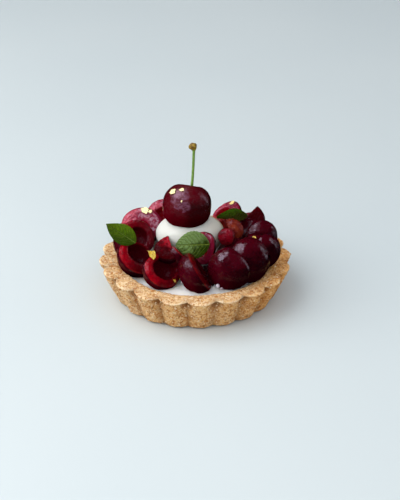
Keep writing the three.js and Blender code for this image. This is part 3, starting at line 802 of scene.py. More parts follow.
def cut_colour(tree, where, fibres, torn, lit_flesh, shaded_flesh, pit):
    """Cut flesh: one colour where painted light falls, a darker one in painted shade and between torn fibres,
    and the pit's colour in the hollow.
    """
    clouds = noise(tree, where, 4.5, detail=2)
    uneven = times(tree, minus(tree, clouds, 0.5), 1.6)
    # Painted light and shade: the lit colour where the painted light falls, the shaded colour elsewhere
    lit = plus(tree, value_of(tree, "painted_light"), uneven)
    rim = times(tree, value_of(tree, "edge"), ranged(tree, clouds, 0.4, 0.6, 0.1, 0.6))
    colour = colour_mix(tree, ranged(tree, lit, 0.15, 1.0), shaded_flesh, lit_flesh)
    colour = colour_mix(tree, ranged(tree, fibres, 0.5, 0.6, 0, torn), colour, shaded_flesh)
    colour = colour_mix(tree, value_of(tree, "pit"), colour, pit)
    return colour_mix(tree, rim, colour, CUT_RIM)


def cut_cherry_finish(name, lit_flesh, shaded_flesh, pit, torn=0.5, gloss=0.24):
    """Skin outside and wet cut flesh inside, by the values that each piece carries."""
    material, tree, where = new_material(name)
    fibres = noise(tree, where, 1.5, detail=4, roughness=0.65, warp=0.8)
    flesh = cut_colour(tree, where, fibres, torn, lit_flesh, shaded_flesh, pit)
    skin = skin_colour(tree, where, *HALF_SKIN_TONES)
    broken = ranged(tree, fibres, 0.48, 0.58, 1.5 * gloss, gloss * (1 - torn))
    film = times(tree, syrup_film(tree, where, 3.6, 0.25), wetness(tree))
    swells = noise(tree, where, 3.0, detail=2, warp=0.5)
    pores = noise(tree, where, 0.9, detail=2)
    rugged = ranged(tree, noise(tree, where, 9), 0.42, 0.6, 0.1, 0.75)
    fibrous = on_skin_or_flesh(tree, rugged, torn)
    porous = on_skin_or_flesh(tree, 0.15, torn)
    surface(
        tree,
        colour_mix(tree, value_of(tree, "flesh"), skin, flesh),
        varied(tree, fibres, 0.06, 0.17),
        bumped(tree, ((swells, 0.5, 0.4), (fibres, 0.5, fibrous), (pores, 0.3, porous))),
        ior=1.45,
        specular_ior_level=times(tree, film, on_skin_or_flesh(tree, SKIN_GLOSS, broken)),
        specular_tint=(0.88, 0.83, 1.0),
        subsurface_weight=0.1,
        subsurface_radius=(1.0, 0.1, 0.08),
        subsurface_scale=1.5 * MM,
    )
    return material


def peeled_finish(name, light, dark):
    """Wet flesh all round, without skin."""
    material, tree, where = new_material(name)
    fibres = noise(tree, where, 1.4, detail=4, roughness=0.6, warp=0.9)
    clouds = noise(tree, where, 3.5, detail=2)
    pores = noise(tree, where, 1.0, detail=2)
    colour = clouded(tree, clouds, light, dark)
    colour = colour_mix(tree, ranged(tree, fibres, 0.5, 0.75, 0, 0.6), colour, dark)
    surface(
        tree,
        colour,
        varied(tree, fibres, 0.1, 0.24),
        bumped(tree, ((clouds, 1.6, 0.6), (fibres, 0.8, 0.6), (pores, 0.35, 0.7))),
        ior=1.42,
        specular_tint=(1.0, 0.78, 0.95),
        subsurface_weight=0.15,
        subsurface_radius=(1.0, 0.2, 0.12),
        subsurface_scale=1.5 * MM,
    )
    return material


# Finishes of the leaves, the stalk, the gold leaf and the syrup
def leaf_finish(name, blade, shade, vein):
    """Green blade with painted shade by the leaf's shade value, its veins, and a fine net between them with
    painted shade in its creases.
    """
    material, tree, where = new_material(name)
    clouds = noise(tree, where, 2.4)
    mottle = times(tree, minus(tree, clouds, 0.5), 1.4)
    depth = plus(tree, value_of(tree, "shade"), mottle)
    net = cells(tree, where, 1.0, "DISTANCE_TO_EDGE")
    fine = noise(tree, where, 0.6)
    quilted = minus(tree, net, value_of(tree, "vein"))
    colour = colour_mix(tree, ranged(tree, depth, 0.05, 0.95), blade, shade)
    # Painted shade in the creases of the fine net
    colour = colour_mix(tree, ranged(tree, net, 0.12, 0.0, 0, 0.4), colour, shade)
    colour = colour_mix(tree, value_of(tree, "vein"), colour, vein)
    surface(
        tree,
        colour,
        varied(tree, fine, 0.42, 0.6),
        bumped(tree, ((quilted, 0.7, 0.9), (fine, 0.1, 0.4), (clouds, 0.5, 0.5))),
        ior=1.45,
        specular_ior_level=0.03,
        subsurface_weight=0.12,
        subsurface_radius=(0.4, 1.0, 0.1),
        subsurface_scale=0.8 * MM,
    )
    return material


def stalk_finish():
    """Green rod and brown knob, both streaked."""
    material, tree, where = new_material("stalk")
    streaks = noise(tree, where, 1.1, warp=0.5)
    green = clouded(tree, streaks, *ROD_GREENS)
    woody = clouded(tree, streaks, *KNOB_BROWNS)
    colour = colour_mix(tree, value_of(tree, "wood"), green, woody)
    normal = bumped(tree, ((noise(tree, where, 0.5), 0.12, 0.5),))
    surface(tree, colour, varied(tree, streaks, 0.35, 0.6), normal, ior=1.45)
    return material


def gold_finish():
    """Crumpled gold, with painted highlight where the flake's own value says that the light falls on it."""
    material, tree, where = new_material("gold_leaf")
    crumple = noise(tree, where, 0.8)
    colour = clouded(tree, crumple, *GOLDS)
    # Painted highlight: paler gold where the light falls
    colour = colour_mix(tree, times(tree, value_of(tree, "pale"), 0.8), colour, PAINTED_HIGHLIGHT_GOLD)
    normal = bumped(tree, ((crumple, 0.25, 0.7),))
    surface(tree, colour, varied(tree, crumple, 0.25, 0.45), normal, metallic=0.15)
    return material


def syrup_finish():
    """Syrup drops whose pale pinkish colour is a painted glint."""
    material, tree, where = new_material("syrup")
    drift = noise(tree, where, 1.5)
    colour = clouded(tree, drift, *BEAD_GLINT_TONES)
    surface(tree, colour, varied(tree, drift, 0.04, 0.1), ior=1.42, coat_weight=1.0, coat_roughness=0.03)
    return material


def juice_finish():
    """Dark cherry juice, wet and lumpy, its darkness partly painted shade between the front halves."""
    material, tree, where = new_material("juice")
    lumps = noise(tree, where, 2.4)
    colour = colour_mix(tree, ranged(tree, lumps, 0.4, 0.6), *JUICE_AND_SHADE_TONES)
    normal = bumped(tree, ((lumps, 1.2, 0.8), (noise(tree, where, 0.9, detail=2), 0.35, 0.8)))
    surface(tree, colour, varied(tree, lumps, 0.06, 0.14), normal, ior=1.42, specular_tint=(0.9, 0.84, 1.0))
    return material


def floor_finish():
    """Pale matt floor, very slightly clouded."""
    material, tree, where = new_material("floor")
    cloud = noise(tree, where, 300, detail=2)
    colour = colour_mix(tree, ranged(tree, cloud, 0.3, 0.7), *FLOOR_TONES)
    surface(tree, colour, varied(tree, cloud, 0.5, 0.55), ior=1.4, specular_ior_level=0.3)
    return material


# Geometry trees
def geometry_tree(name, inputs):
    """A tree with its named inputs: numbers with their usual values, or None for a material."""
    tree = bpy.data.node_groups.new(name, "GeometryNodeTree")
    tree.interface.new_socket("Geometry", in_out="OUTPUT", socket_type="NodeSocketGeometry")
    tree.interface.new_socket("Geometry", in_out="INPUT", socket_type="NodeSocketGeometry")
    kinds = {float: "NodeSocketFloat", int: "NodeSocketInt", type(None): "NodeSocketMaterial"}
    for key, value in inputs.items():
        socket = tree.interface.new_socket(key, in_out="INPUT", socket_type=kinds[type(value)])
        if value is not None:
            socket.default_value = value
    return tree, tree.nodes.new("NodeGroupInput").outputs


def end_tree(tree, geometry, material):
    """Ends the tree in real faces of one material."""
    whole = node(tree, "GeometryNodeRealizeInstances", {"Geometry": geometry})
    dressed = node(tree, "GeometryNodeSetMaterial", {"Geometry": whole, "Material": material})
    tree.links.new(dressed, tree.nodes.new("NodeGroupOutput").inputs["Geometry"])


def named_value(tree, name):
    return node(tree, "GeometryNodeInputNamedAttribute", {"Name": name}, data_type="FLOAT")


def moved(tree, geometry, offset):
    return node(tree, "GeometryNodeSetPosition", {"Geometry": geometry, "Offset": offset})


def shaped_by(base, tree, inputs, name):
    """The plain mesh that a geometry tree makes of the base object, as a new object."""
    modifier = base.modifiers.new(tree.name, "NODES")
    modifier.node_group = tree
    for socket in tree.interface.items_tree:
        if socket.in_out == "INPUT" and socket.name in inputs:
            modifier[socket.identifier] = inputs[socket.name]
    mesh = evaluated_mesh(base)
    base.modifiers.remove(modifier)
    mesh.name = name
    return placed(name, mesh)


# Crust: a plain turned shell, which the fluting tree shapes
def shell_line():
    """Points (radius, height, share of fluting, share of relief) up the outside and down the inside."""
    corners = (
        (0, 0, 0, 0),
        (BASE_TIP_RADIUS - EDGE_BEVEL - 3, 0, 0.6, 0),
        (BASE_TIP_RADIUS - EDGE_BEVEL, 0.12, 1, 0.4),
        (BASE_TIP_RADIUS + 0.45, EDGE_BEVEL, 1, 1),
        (RIM_TIP_RADIUS - 0.6, SHELL_HEIGHT - EDGE_BEVEL - 0.4, 1, 1),
        (RIM_TIP_RADIUS - 0.2, SHELL_HEIGHT - EDGE_BEVEL / 2, 1, 0.8),
        (RIM_TIP_RADIUS - 0.9, SHELL_HEIGHT - 0.1, 1, 0.8),
        (RIM_GROOVE_RADIUS - 1.8, SHELL_HEIGHT - 0.1, 0.3, 1),
        (INNER_RIM_RADIUS + 2.4, SHELL_HEIGHT - 0.25, 0, 1),
        (INNER_RIM_RADIUS + 0.7, SHELL_HEIGHT - 0.7, 0, 1),
        (INNER_RIM_RADIUS - 0.2, SHELL_HEIGHT - 1.8, 0, 0.8),
        (INNER_FLOOR_RADIUS, FLOOR_HEIGHT, 0, 0),
        (0, FLOOR_HEIGHT, 0, 0),
    )
    line = np.array(corners, float)
    length = length_along(line[:, :2])
    underside_end = length[1]
    rim_end = length[-3]
    floor_start = length[-2]
    underside = np.linspace(0.5, underside_end, 8, endpoint=False)
    wall_and_rim = np.arange(underside_end, rim_end + 0.5, CRUST_STEP)
    inner_wall = np.linspace(rim_end + 1, floor_start, 6)
    floor = np.linspace(floor_start + 4, length[-1] - 0.5, 5)
    return at_lengths(line, length, np.concatenate([underside, wall_and_rim, inner_wall, floor]))


def fluting_offset(tree, entry, angle, reach, arch, rise):
    """Inwards into the grooves and under the arches of the rim, and up and down along the rim."""
    base = entry["Base groove depth"]
    depth = node(tree, "ShaderNodeMapRange", {0: rise, 3: base, 4: entry["Rim groove depth"]})
    groove = times(tree, minus(tree, 1.0, reach), depth)
    inward = plus(tree, groove, times(tree, arch, entry["Arch depth"]))
    inward = times(tree, inward, named_value(tree, "fluting"))
    cosine = maths(tree, "COSINE", angle)
    sine = maths(tree, "SINE", angle)
    radial = node(tree, "ShaderNodeCombineXYZ", {0: cosine, 1: sine})
    slow = maths(tree, "SINE", plus(tree, times(tree, angle, 2.0), 0.8))
    quick = maths(tree, "SINE", plus(tree, times(tree, angle, 5.0), 2.1))
    swell = plus(tree, slow, times(tree, quick, 0.7))
    lift = times(tree, swell, entry["Rim unevenness"], named_value(tree, "rim"))
    upward = node(tree, "ShaderNodeCombineXYZ", {2: lift})
    return node(tree, "ShaderNodeVectorMath", {0: scaled(tree, radial, times(tree, inward, -1.0)), 1: upward})


def crumbly_offset(tree, entry, place):
    """Out and in along the surface's normal: folds, crumbs and small holes."""
    folds = minus(tree, noise(tree, place, 3.4, detail=2, warp=1.2), 0.5)
    crumbs = minus(tree, noise(tree, place, 1.3), 0.5)
    holes = ranged(tree, noise(tree, place, 1.9, detail=2, warp=0.5), 0.36, 0.22)
    relief = times(tree, folds, times(tree, entry["Fold relief"], 2.0))
    relief = plus(tree, relief, times(tree, crumbs, times(tree, entry["Crumb relief"], 2.0)))
    relief = minus(tree, relief, times(tree, holes, entry["Hole depth"]))
    relief = times(tree, relief, named_value(tree, "relief"))
    return scaled(tree, node(tree, "GeometryNodeInputNormal"), relief)


def fluting_tree():
    """Geometry nodes that flute the shell, lift its rim unevenly and give it a crumbly relief."""
    sizes = {
        "Flutes": float(FLUTES),
        "Flute turn": math.radians(FLUTE_TURN),
        "Flute sharpness": FLUTE_SHARPNESS,
        "Rim groove depth": (RIM_TIP_RADIUS - RIM_GROOVE_RADIUS) * MM,
        "Base groove depth": (BASE_TIP_RADIUS - BASE_GROOVE_RADIUS) * MM,
        "Shell height": SHELL_HEIGHT * MM,
        "Rim unevenness": RIM_UNEVENNESS * MM,
        "Fold relief": FOLD_RELIEF * MM,
        "Crumb relief": CRUMB_RELIEF * MM,
        "Hole depth": HOLE_DEPTH * MM,
        "Arch depth": ARCH_DEPTH * MM,
    }
    tree, entry = geometry_tree("Fluted crust", {**sizes, "Crust": None})
    place = node(tree, "GeometryNodeInputPosition")
    x, y, z = (part_of(tree, place, axis) for axis in "XYZ")
    angle = maths(tree, "ARCTAN2", y, x)
    turned = times(tree, minus(tree, angle, entry["Flute turn"]), entry["Flutes"])
    wave = maths(tree, "ABSOLUTE", maths(tree, "COSINE", times(tree, turned, 0.5)))
    reach = maths(tree, "POWER", wave, entry["Flute sharpness"])
    rise = maths(tree, "DIVIDE", z, entry["Shell height"])
    arch = times(
        tree, ranged(tree, wave, 0.8, 0.3), ranged(tree, rise, 0.62, 0.86), ranged(tree, rise, 0.97, 0.91)
    )
    shaped = moved(tree, entry["Geometry"], fluting_offset(tree, entry, angle, reach, arch, rise))
    for name, value in (("groove", minus(tree, 1.0, reach)), ("arch", arch)):
        on_flutes = times(tree, value, named_value(tree, "fluting"))
        inputs = {"Geometry": shaped, "Name": name, "Value": on_flutes}
        shaped = node(tree, "GeometryNodeStoreNamedAttribute", inputs, data_type="FLOAT")
    end_tree(tree, moved(tree, shaped, crumbly_offset(tree, entry, place)), entry["Crust"])
    return tree


def crust():
    """The fluted shell, with the values that its finish and its grains follow."""
    line = shell_line()
    radius = line[:, 0]
    height = line[:, 1]
    to_tip = np.hypot(radius - RIM_TIP_RADIUS, height - SHELL_HEIGHT)
    values = {
        "fluting": line[:, 2],
        "relief": line[:, 3],
        "rim": smoothstep(0.7, 0.95, height / SHELL_HEIGHT),
        "wall": smoothstep(SHELL_HEIGHT - 0.5, SHELL_HEIGHT - 1.8, height),
        "lip": smoothstep(1.3, 0.4, to_tip),
    }
    values = {name: with_pole_values(np.repeat(value, CRUST_SEGMENTS)) for name, value in values.items()}
    finish = crust_finish()
    points, faces = ring_mesh(turned_rings(line[:, :2], CRUST_SEGMENTS))
    plain = add_object("plain_shell", points, faces, finish, values)
    made = shaped_by(plain, fluting_tree(), {"Crust": finish}, "crust")
    bpy.data.objects.remove(plain)
    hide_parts("pastry_shell")
    return made


# Bran and crumbs on the crust
def random_value(tree, low, high, seed):
    inputs = {2: low, 3: high, "Seed": seed}
    return node(tree, "FunctionNodeRandomValue", inputs, output=1, data_type="FLOAT")


def grain_tree():
    """Geometry nodes that strew flattened uneven grains over the crumbly part of a surface."""
    numbers = {"Grains per square metre": 0.0, "Smallest": 0.0, "Largest": 0.0, "Flatness": 1.0, "Seed": 0}
    tree, entry = geometry_tree("Strewn grains", {**numbers, "Grain": None})
    seed = entry["Seed"]
    spread = tree.nodes.new("GeometryNodeDistributePointsOnFaces")
    density = times(tree, entry["Grains per square metre"], named_value(tree, "relief"))
    tree.links.new(entry["Geometry"], spread.inputs["Mesh"])
    tree.links.new(density, spread.inputs["Density"])
    tree.links.new(seed, spread.inputs["Seed"])
    size = random_value(tree, entry["Smallest"], entry["Largest"], seed)
    stretched = times(tree, size, random_value(tree, 0.7, 1.5, plus(tree, seed, 3.0)))
    flat = times(tree, size, entry["Flatness"])
    scale = node(tree, "ShaderNodeCombineXYZ", {0: stretched, 1: size, 2: flat})
    spin = random_value(tree, 0.0, 2 * math.pi, plus(tree, seed, 7.0))
    turn = {0: spread.outputs["Rotation"], 1: node(tree, "ShaderNodeCombineXYZ", {2: spin})}
    turned = node(tree, "FunctionNodeRotateRotation", turn, rotation_space="LOCAL")
    grain = node(tree, "GeometryNodeMeshIcoSphere", {"Radius": 1.0, "Subdivisions": 1})
    laid = {"Points": spread.outputs["Points"], "Instance": grain, "Rotation": turned, "Scale": scale}
    whole = node(tree, "GeometryNodeRealizeInstances", {
        "Geometry": node(tree, "GeometryNodeInstanceOnPoints", laid)
    })
    place = node(tree, "GeometryNodeInputPosition")
    knocks = node(tree, "ShaderNodeTexNoise", {"Vector": place, "Scale": 1 / (0.5 * MM)}, output=1)
    uneven = node(tree, "ShaderNodeVectorMath", {0: knocks, 1: (0.5, 0.5, 0.5)}, operation="SUBTRACT")
    offset = scaled(tree, uneven, times(tree, entry["Largest"], 0.7))
    end_tree(tree, moved(tree, whole, offset), entry["Grain"])
    return tree


def strewn_on(base, tree, name, material, per_square_mm, smallest, largest, flatness, seed):
    """Grains on the base, their sizes in millimetres."""
    inputs = {
        "Grains per square metre": per_square_mm / MM**2,
        "Smallest": smallest * MM,
        "Largest": largest * MM,
        "Flatness": flatness,
        "Seed": seed,
        "Grain": material,
    }
    return shaped_by(base, tree, inputs, name)


# Cherry halves
def cut_outline(angles, tall, seed):
    """Share of the radius at each angle: a little out of round, with a dent at the stalk end."""
    from_stalk = np.arctan2(np.sin(angles - math.pi / 2), np.cos(angles - math.pi / 2))
    dent = STALK_END_DENT * bell(from_stalk, STALK_END_WIDTH)
    uneven = 0.025 * np.cos(2 * angles + seed) + 0.015 * np.cos(3 * angles + 2 * seed)
    return (1 - dent + uneven) * np.hypot(np.cos(angles), tall * np.sin(angles))


def pit_line(radius, depth, pit):
    """The cut's last part and the hollow that the stone left, as (radius, height)."""
    floor = -min(PIT_DEPTH * radius, depth - PIT_FLOOR_LEFT)
    rim = pit * radius
    return [
        (1.13 * rim, 0.03 * radius),
        (rim, -0.01 * radius),
        (0.92 * rim, 0.3 * floor),
        (PIT_WAIST_OF_RIM * rim, 0.7 * floor),
        (0.45 * rim, 0.94 * floor),
        (0.35, floor),
    ]


def half_line(radius, depth, pit, pitted):
    """Line of a cut half, with the shares of its length where the skin ends and where the pit begins."""
    widest = WIDEST_BELOW_CUT * radius
    rise = np.linspace(0.03, math.pi / 2, 26)
    dome = np.stack([radius * np.sin(rise), -widest - (depth - widest) * np.cos(rise)], axis=1)
    cut = np.array([(0.995, -0.15), (CUT_EDGE[0], 0.8 * CUT_EDGE[1]), (0.9, -0.01), CUT_CROWN]) * radius
    height = CUT_CROWN[1] * radius
    flat = [(0.5 * radius, height), (0.25 * radius, 0.9 * height), (0.35, height)]
    line = np.vstack([dome, cut, pit_line(radius, depth, pit) if pitted else flat])
    length = length_along(line)
    skin_end = length[len(dome)] / length[-1]
    pit_start = length[len(dome) + len(cut)] / length[-1] if pitted else 2
    return curve_through(line, HALF_RINGS), skin_end, pit_start


def cut_frame(at, faces, turn):
    """Turning and place of a half: +Z the way its cut faces, +X level, then turned within the cut."""
    azimuth, elevation = (math.radians(value) for value in faces)
    level_reach = math.cos(elevation)
    out = Vector((level_reach * math.cos(azimuth), level_reach * math.sin(azimuth), math.sin(elevation)))
    level = Vector((-math.sin(azimuth), math.cos(azimuth), 0))
    up = out.cross(level)
    axes = Matrix((level, up, out)).transposed() @ Matrix.Rotation(math.radians(turn), 3, "Z")
    return np.array(axes), np.array(at, float)


def half_rings(radius, depth, turn, seed, tall=1, pit=PIT_RIM, pit_off=(0, 0), pitted=True):
    """Rings of a cut half in its own frame, and the flesh, pit and edge values of each ring."""
    line, skin_end, pit_start = half_line(radius, depth, pit, pitted)
    rings = turned_rings(line, HALF_SEGMENTS, lambda angles: cut_outline(angles, tall, seed))
    share = np.linspace(0, 1, len(line))
    back = math.radians(-turn)
    across, up = (radius * part for part in pit_off)
    offset_x = across * math.cos(back) - up * math.sin(back)
    offset_y = across * math.sin(back) + up * math.cos(back)
    in_pit = smoothstep(pit_start - 0.06, pit_start + 0.02, share)
    rings[:, :, :2] += in_pit[:, None, None] * np.array((offset_x, offset_y))
    flesh = smoothstep(skin_end + 0.008, skin_end + 0.024, share)
    hollow = smoothstep(pit_start - 0.012, pit_start + 0.07, share)
    edge = bell(share - skin_end - 0.02, 0.012)
    swells = relief(rings, HALF_SWELLS, seed)
    torn = relief(rings, HALF_FIBRES, seed)
    return pushed_out(rings, swells + flesh[:, None] * torn), flesh, hollow, edge


def painted_light_values(points, centre, radius, lit_from=WINDOW_SIDE):
    """Share of painted light at each point: most on the side towards the light, as if light came through the
    flesh.
    """
    return smoothstep(-0.75, 1.0, (points - np.array(centre)) @ np.array(lit_from) / radius)


def cherry_half(name, seed, finish, at, faces, turn, radius, depth, lit_from=WINDOW_SIDE, **shape):
    """A half in its place, with the values that tell its skin, cut, pit and side of painted light apart."""
    rings, flesh, pit, edge = half_rings(radius, depth, turn, seed, **shape)
    axes, centre = cut_frame(at, faces, turn)
    points, mesh_faces = ring_mesh(rings)
    points = points @ axes.T + centre
    values = {
        "flesh": with_pole_values(np.repeat(flesh, HALF_SEGMENTS), 0, 1),
        "pit": with_pole_values(np.repeat(pit, HALF_SEGMENTS), 0, 1),
        "edge": with_pole_values(np.repeat(edge, HALF_SEGMENTS)),
        # Painted light on the side of the half towards the light
        "painted_light": painted_light_values(points, centre, radius, lit_from),
    }
    made = add_object(name, points, mesh_faces, finish, values)
    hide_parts(name)
    return made


# Cut pieces of cherry
def cut_again(rings, finish):
    """A half cut through along the stalk, with its +X side kept, as an even mesh with soft edges."""
    whole = add_object("whole_half", *ring_mesh(rings), finish)
    shape = bmesh.new()
    shape.from_mesh(whole.data)
    everything = shape.verts[:] + shape.edges[:] + shape.faces[:]
    cut = bmesh.ops.bisect_plane(shape, geom=everything, plane_no=(1, 0, 0), clear_inner=True)
    border = [item for item in cut["geom_cut"] if isinstance(item, bmesh.types.BMEdge)]
    bmesh.ops.triangle_fill(shape, edges=border, use_beauty=True)
    bmesh.ops.recalc_face_normals(shape, faces=shape.faces[:])
    shape.to_mesh(whole.data)
    shape.free()
    remesh = whole.modifiers.new("Even mesh", "REMESH")
    remesh.mode = "VOXEL"
    remesh.voxel_size = QUARTER_VOXEL * MM
    smooth = whole.modifiers.new("Soft edges", "SMOOTH")
    smooth.iterations = 3
    mesh = evaluated_mesh(whole)
    bpy.data.objects.remove(whole)
    points = np.array([vertex.co for vertex in mesh.vertices]) / MM
    normals = np.array([vertex.normal for vertex in mesh.vertices])
    faces = [tuple(face.vertices) for face in mesh.polygons]
    bpy.data.meshes.remove(mesh)
    return points, normals, faces


def skin_share(points, radius, depth):
    """1 on the round outside of a cut piece, and 0 on both its cuts."""
    widest = WIDEST_BELOW_CUT * radius
    below = np.maximum(0, -points[:, 2] - widest) / (depth - widest)
    outward = np.hypot(np.hypot(points[:, 0], points[:, 1]) / radius, below)
    off_cuts = smoothstep(0.15, 0.45, points[:, 0]) * smoothstep(-0.3, -1.2, points[:, 2])
    return smoothstep(0.9, 0.94, outward) * off_cuts


def cherry_quarter(name, seed, finish, at, faces, turn, radius, depth, lit=1):
    """One side of a half, cut through again along the stalk, with painted light on its upper part."""
    rings = half_rings(radius, depth, turn, seed, pitted=False)[0]
    points, normals, mesh_faces = cut_again(rings, finish)
    flesh = 1 - skin_share(points, radius, depth)
    torn = relief(points, QUARTER_FIBRES, seed)
    points += normals * (flesh * torn)[:, None]
    axes, centre = cut_frame(at, faces, turn)
    points = points @ axes.T + centre
    rise = (points[:, 2] - points[:, 2].min()) / np.ptp(points[:, 2])
    # Painted light on the upper part of the piece
    values = {"flesh": flesh, "pit": 0 * flesh, "painted_light": lit * smoothstep(0.6, 1.0, rise)}
    made = add_object(name, points, mesh_faces, finish, values)
    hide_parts(name)
    return made


# Whole cherry and its stalk
def cherry_surface(elevation):
    """Radius and height of the whole cherry's surface at each elevation."""
    radius = CHERRY_HALF_WIDTH * np.maximum(0, np.cos(elevation)) ** CHERRY_SQUARENESS
    height = CHERRY_HALF_HEIGHT * np.sign(elevation) * np.abs(np.sin(elevation)) ** CHERRY_SQUARENESS
    top = STALK_DIMPLE_DEPTH * bell(radius, STALK_DIMPLE_RADIUS)
    bottom = BASE_DIMPLE_DEPTH * bell(radius, BASE_DIMPLE_RADIUS)
    return np.stack([radius, height - np.where(elevation > 0, top, -bottom)], axis=-1)


def cherry_axes():
    """How the whole cherry leans."""
    lean = Euler((-math.radians(CHERRY_LEAN_BACK), math.radians(CHERRY_LEAN_RIGHT), 0), "XYZ")
    return np.array(lean.to_matrix())


def whole_cherry(finish):
    """The leaning whole cherry, with painted light on its side towards the window and its patch of painted
    reflection.
    """
    elevations = np.linspace(-math.pi / 2, math.pi / 2, CHERRY_RINGS + 2)[1:-1]
    rings = turned_rings(cherry_surface(elevations), CHERRY_SEGMENTS)
    rings = pushed_out(rings, relief(rings, CHERRY_SWELLS))
    points, faces = ring_mesh(rings)
    points = points @ cherry_axes().T + np.array(CHERRY_CENTRE)
    # Painted reflection: a patch around a point on the cherry's upper left front
    from_painted_reflection = np.linalg.norm(points - np.array(PAINTED_REFLECTION_CENTRE), axis=1)
    values = {
        "painted_light": painted_light_values(points, CHERRY_CENTRE, CHERRY_HALF_WIDTH),
        "painted_reflection": smoothstep(PAINTED_REFLECTION_REACH, 0.4 * PAINTED_REFLECTION_REACH, from_painted_reflection),
    }
    made = add_object("cherry", points, faces, finish, values)
    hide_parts("cherry_whole")
    return made


def stalk_radii(share, knob_start, knob_share):
    """Radius at each share of the stalk's length, up the rod and over the knob."""
    rod_radii = [STALK_FOOT_RADIUS, STALK_RADIUS, STALK_RADIUS, STALK_NECK_RADIUS]
    knob_radii = [radius for radius, _ in KNOB_OUTLINE]
    shares = [0, 0.1, 0.8, knob_start, *np.linspace(knob_share, 1, len(knob_radii))]
    return np.interp(share, shares, rod_radii + knob_radii)


def stalk(finish):
    """The stalk's rod and its woody knob, as one closed tube."""
    rod = curve_through(STALK_PATH, ROD_STEPS)
    lean = math.radians(KNOB_LEAN)
    knob_axis = np.array([math.sin(lean), 0, math.cos(lean)])
    knob = [rod[-1] + height * knob_axis for _, height in KNOB_OUTLINE]
    centres = curve_through(np.vstack([rod[:-2:4], knob]), STALK_RINGS)
    share = np.linspace(0, 1, len(centres))
    whole_length = length_along(centres)[-1]
    knob_start = 1 - (KNOB_OUTLINE[-1][1] + 0.6) / whole_length
    radii = stalk_radii(share, knob_start, knob_start + 0.2 / whole_length)
    tangent = np.gradient(centres, axis=0)
    tangent /= np.linalg.norm(tangent, axis=1, keepdims=True)
    sideways = np.cross(tangent, (0, 1, 0))
    sideways /= np.linalg.norm(sideways, axis=1, keepdims=True)
    forward = np.cross(tangent, sideways)
    angles = np.linspace(0, 2 * math.pi, STALK_SEGMENTS, endpoint=False)
    wood = smoothstep(knob_start - 0.01, knob_start + 0.05, share)
    ridges = 1 + 0.10 * wood[:, None] * np.cos(5 * angles + 1)
    ridges += 0.04 * np.cos(2 * angles + 6 * share[:, None])
    across = np.cos(angles)[None, :, None]
    along = np.sin(angles)[None, :, None]
    around = across * sideways[:, None] + along * forward[:, None]
    rings = centres[:, None] + around * (radii[:, None] * ridges)[:, :, None]
    rings = pushed_out(rings, 0.12 * wood[:, None] * wobble(rings, 1.1, 31))
    values = {"wood": with_pole_values(np.repeat(wood, STALK_SEGMENTS), 0, 1)}
    made = add_object("stalk", *ring_mesh(rings), finish, values)
    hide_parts("cherry_stalk")
    return made


# Cream
def cream_filling(finish, sunk):
    """Cream up to the level that shows, drawn up a little round everything that stands in it."""
    outer = INNER_RIM_RADIUS - 0.6
    bottom = FLOOR_HEIGHT + 0.3
    side = [(8, bottom), (24, bottom), (INNER_FLOOR_RADIUS - 0.4, bottom)]
    side += [(outer - 1.2, CREAM_HEIGHT - 5), (outer, CREAM_HEIGHT - 0.6)]
    top = [(radius, CREAM_HEIGHT) for radius in np.linspace(outer, 0.6, CREAM_RINGS)]
    rings = turned_rings(np.array(side + top), CREAM_SEGMENTS)
    flat = rings[len(side):].reshape(-1, 3)
    angle = np.arctan2(flat[:, 1], flat[:, 0])
    radius = np.hypot(flat[:, 0], flat[:, 1])
    flat[:, 2] += CREAM_WAVE * np.sin(3 * angle + radius / 6) + 0.12 * wobble(flat, 6, 41)
    far = 6 * MM
    distance = np.array([sunk.find_nearest(Vector(point * MM), far)[3] or far for point in flat]) / MM
    flat[:, 2] += CREAM_LIFT * np.exp(-distance / CREAM_LIFT_REACH)
    flat[:, 2] += 0.5 * smoothstep(outer - 1.6, outer, radius)
    rings[len(side):] = flat.reshape(-1, CREAM_SEGMENTS, 3)
    stain = np.zeros(rings.shape[:2])
    stain[len(side):] = (0.5 * np.exp(-distance / 0.35)).reshape(-1, CREAM_SEGMENTS)
    made = add_object("filling", *ring_mesh(rings), finish, {"stain": with_pole_values(stain)})
    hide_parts("cream_filling")
    return made


def scoop_line():
    """Share of the scoop's half length, and height, from its foot to its top."""
    foot = CREAM_HEIGHT + CREAM_WAVE - 0.6
    rise = np.sin(np.linspace(0, 1, SCOOP_RINGS) * math.pi / 2)
    height = foot + (SCOOP_TOP_HEIGHT - foot) * rise
    below = (height - foot) / (SCOOP_WIDEST_HEIGHT - foot)
    lower = SCOOP_FOOT + (1 - SCOOP_FOOT) * np.sin(below * math.pi / 2)
    above = (height - SCOOP_WIDEST_HEIGHT) / (SCOOP_TOP_HEIGHT - SCOOP_WIDEST_HEIGHT)
    upper = np.sqrt(np.clip(1 - above**2, 0.0004, 1))
    return np.where(height < SCOOP_WIDEST_HEIGHT, lower, upper), height


def lip_values(rings):
    """Share of painted shade: most along the lip, and a little on all of the right side."""
    x, y, z = (rings[:, :, i] for i in range(3))
    above_lip = z - SCOOP_WIDEST_HEIGHT - SCOOP_LIP_SLOPE * y + 0.35
    lip = 0.75 * bell(above_lip - 2.5, 1.8) * smoothstep(7, 10, x)
    return lip + 0.2 * (1 - lip) * smoothstep(4, 13, x)


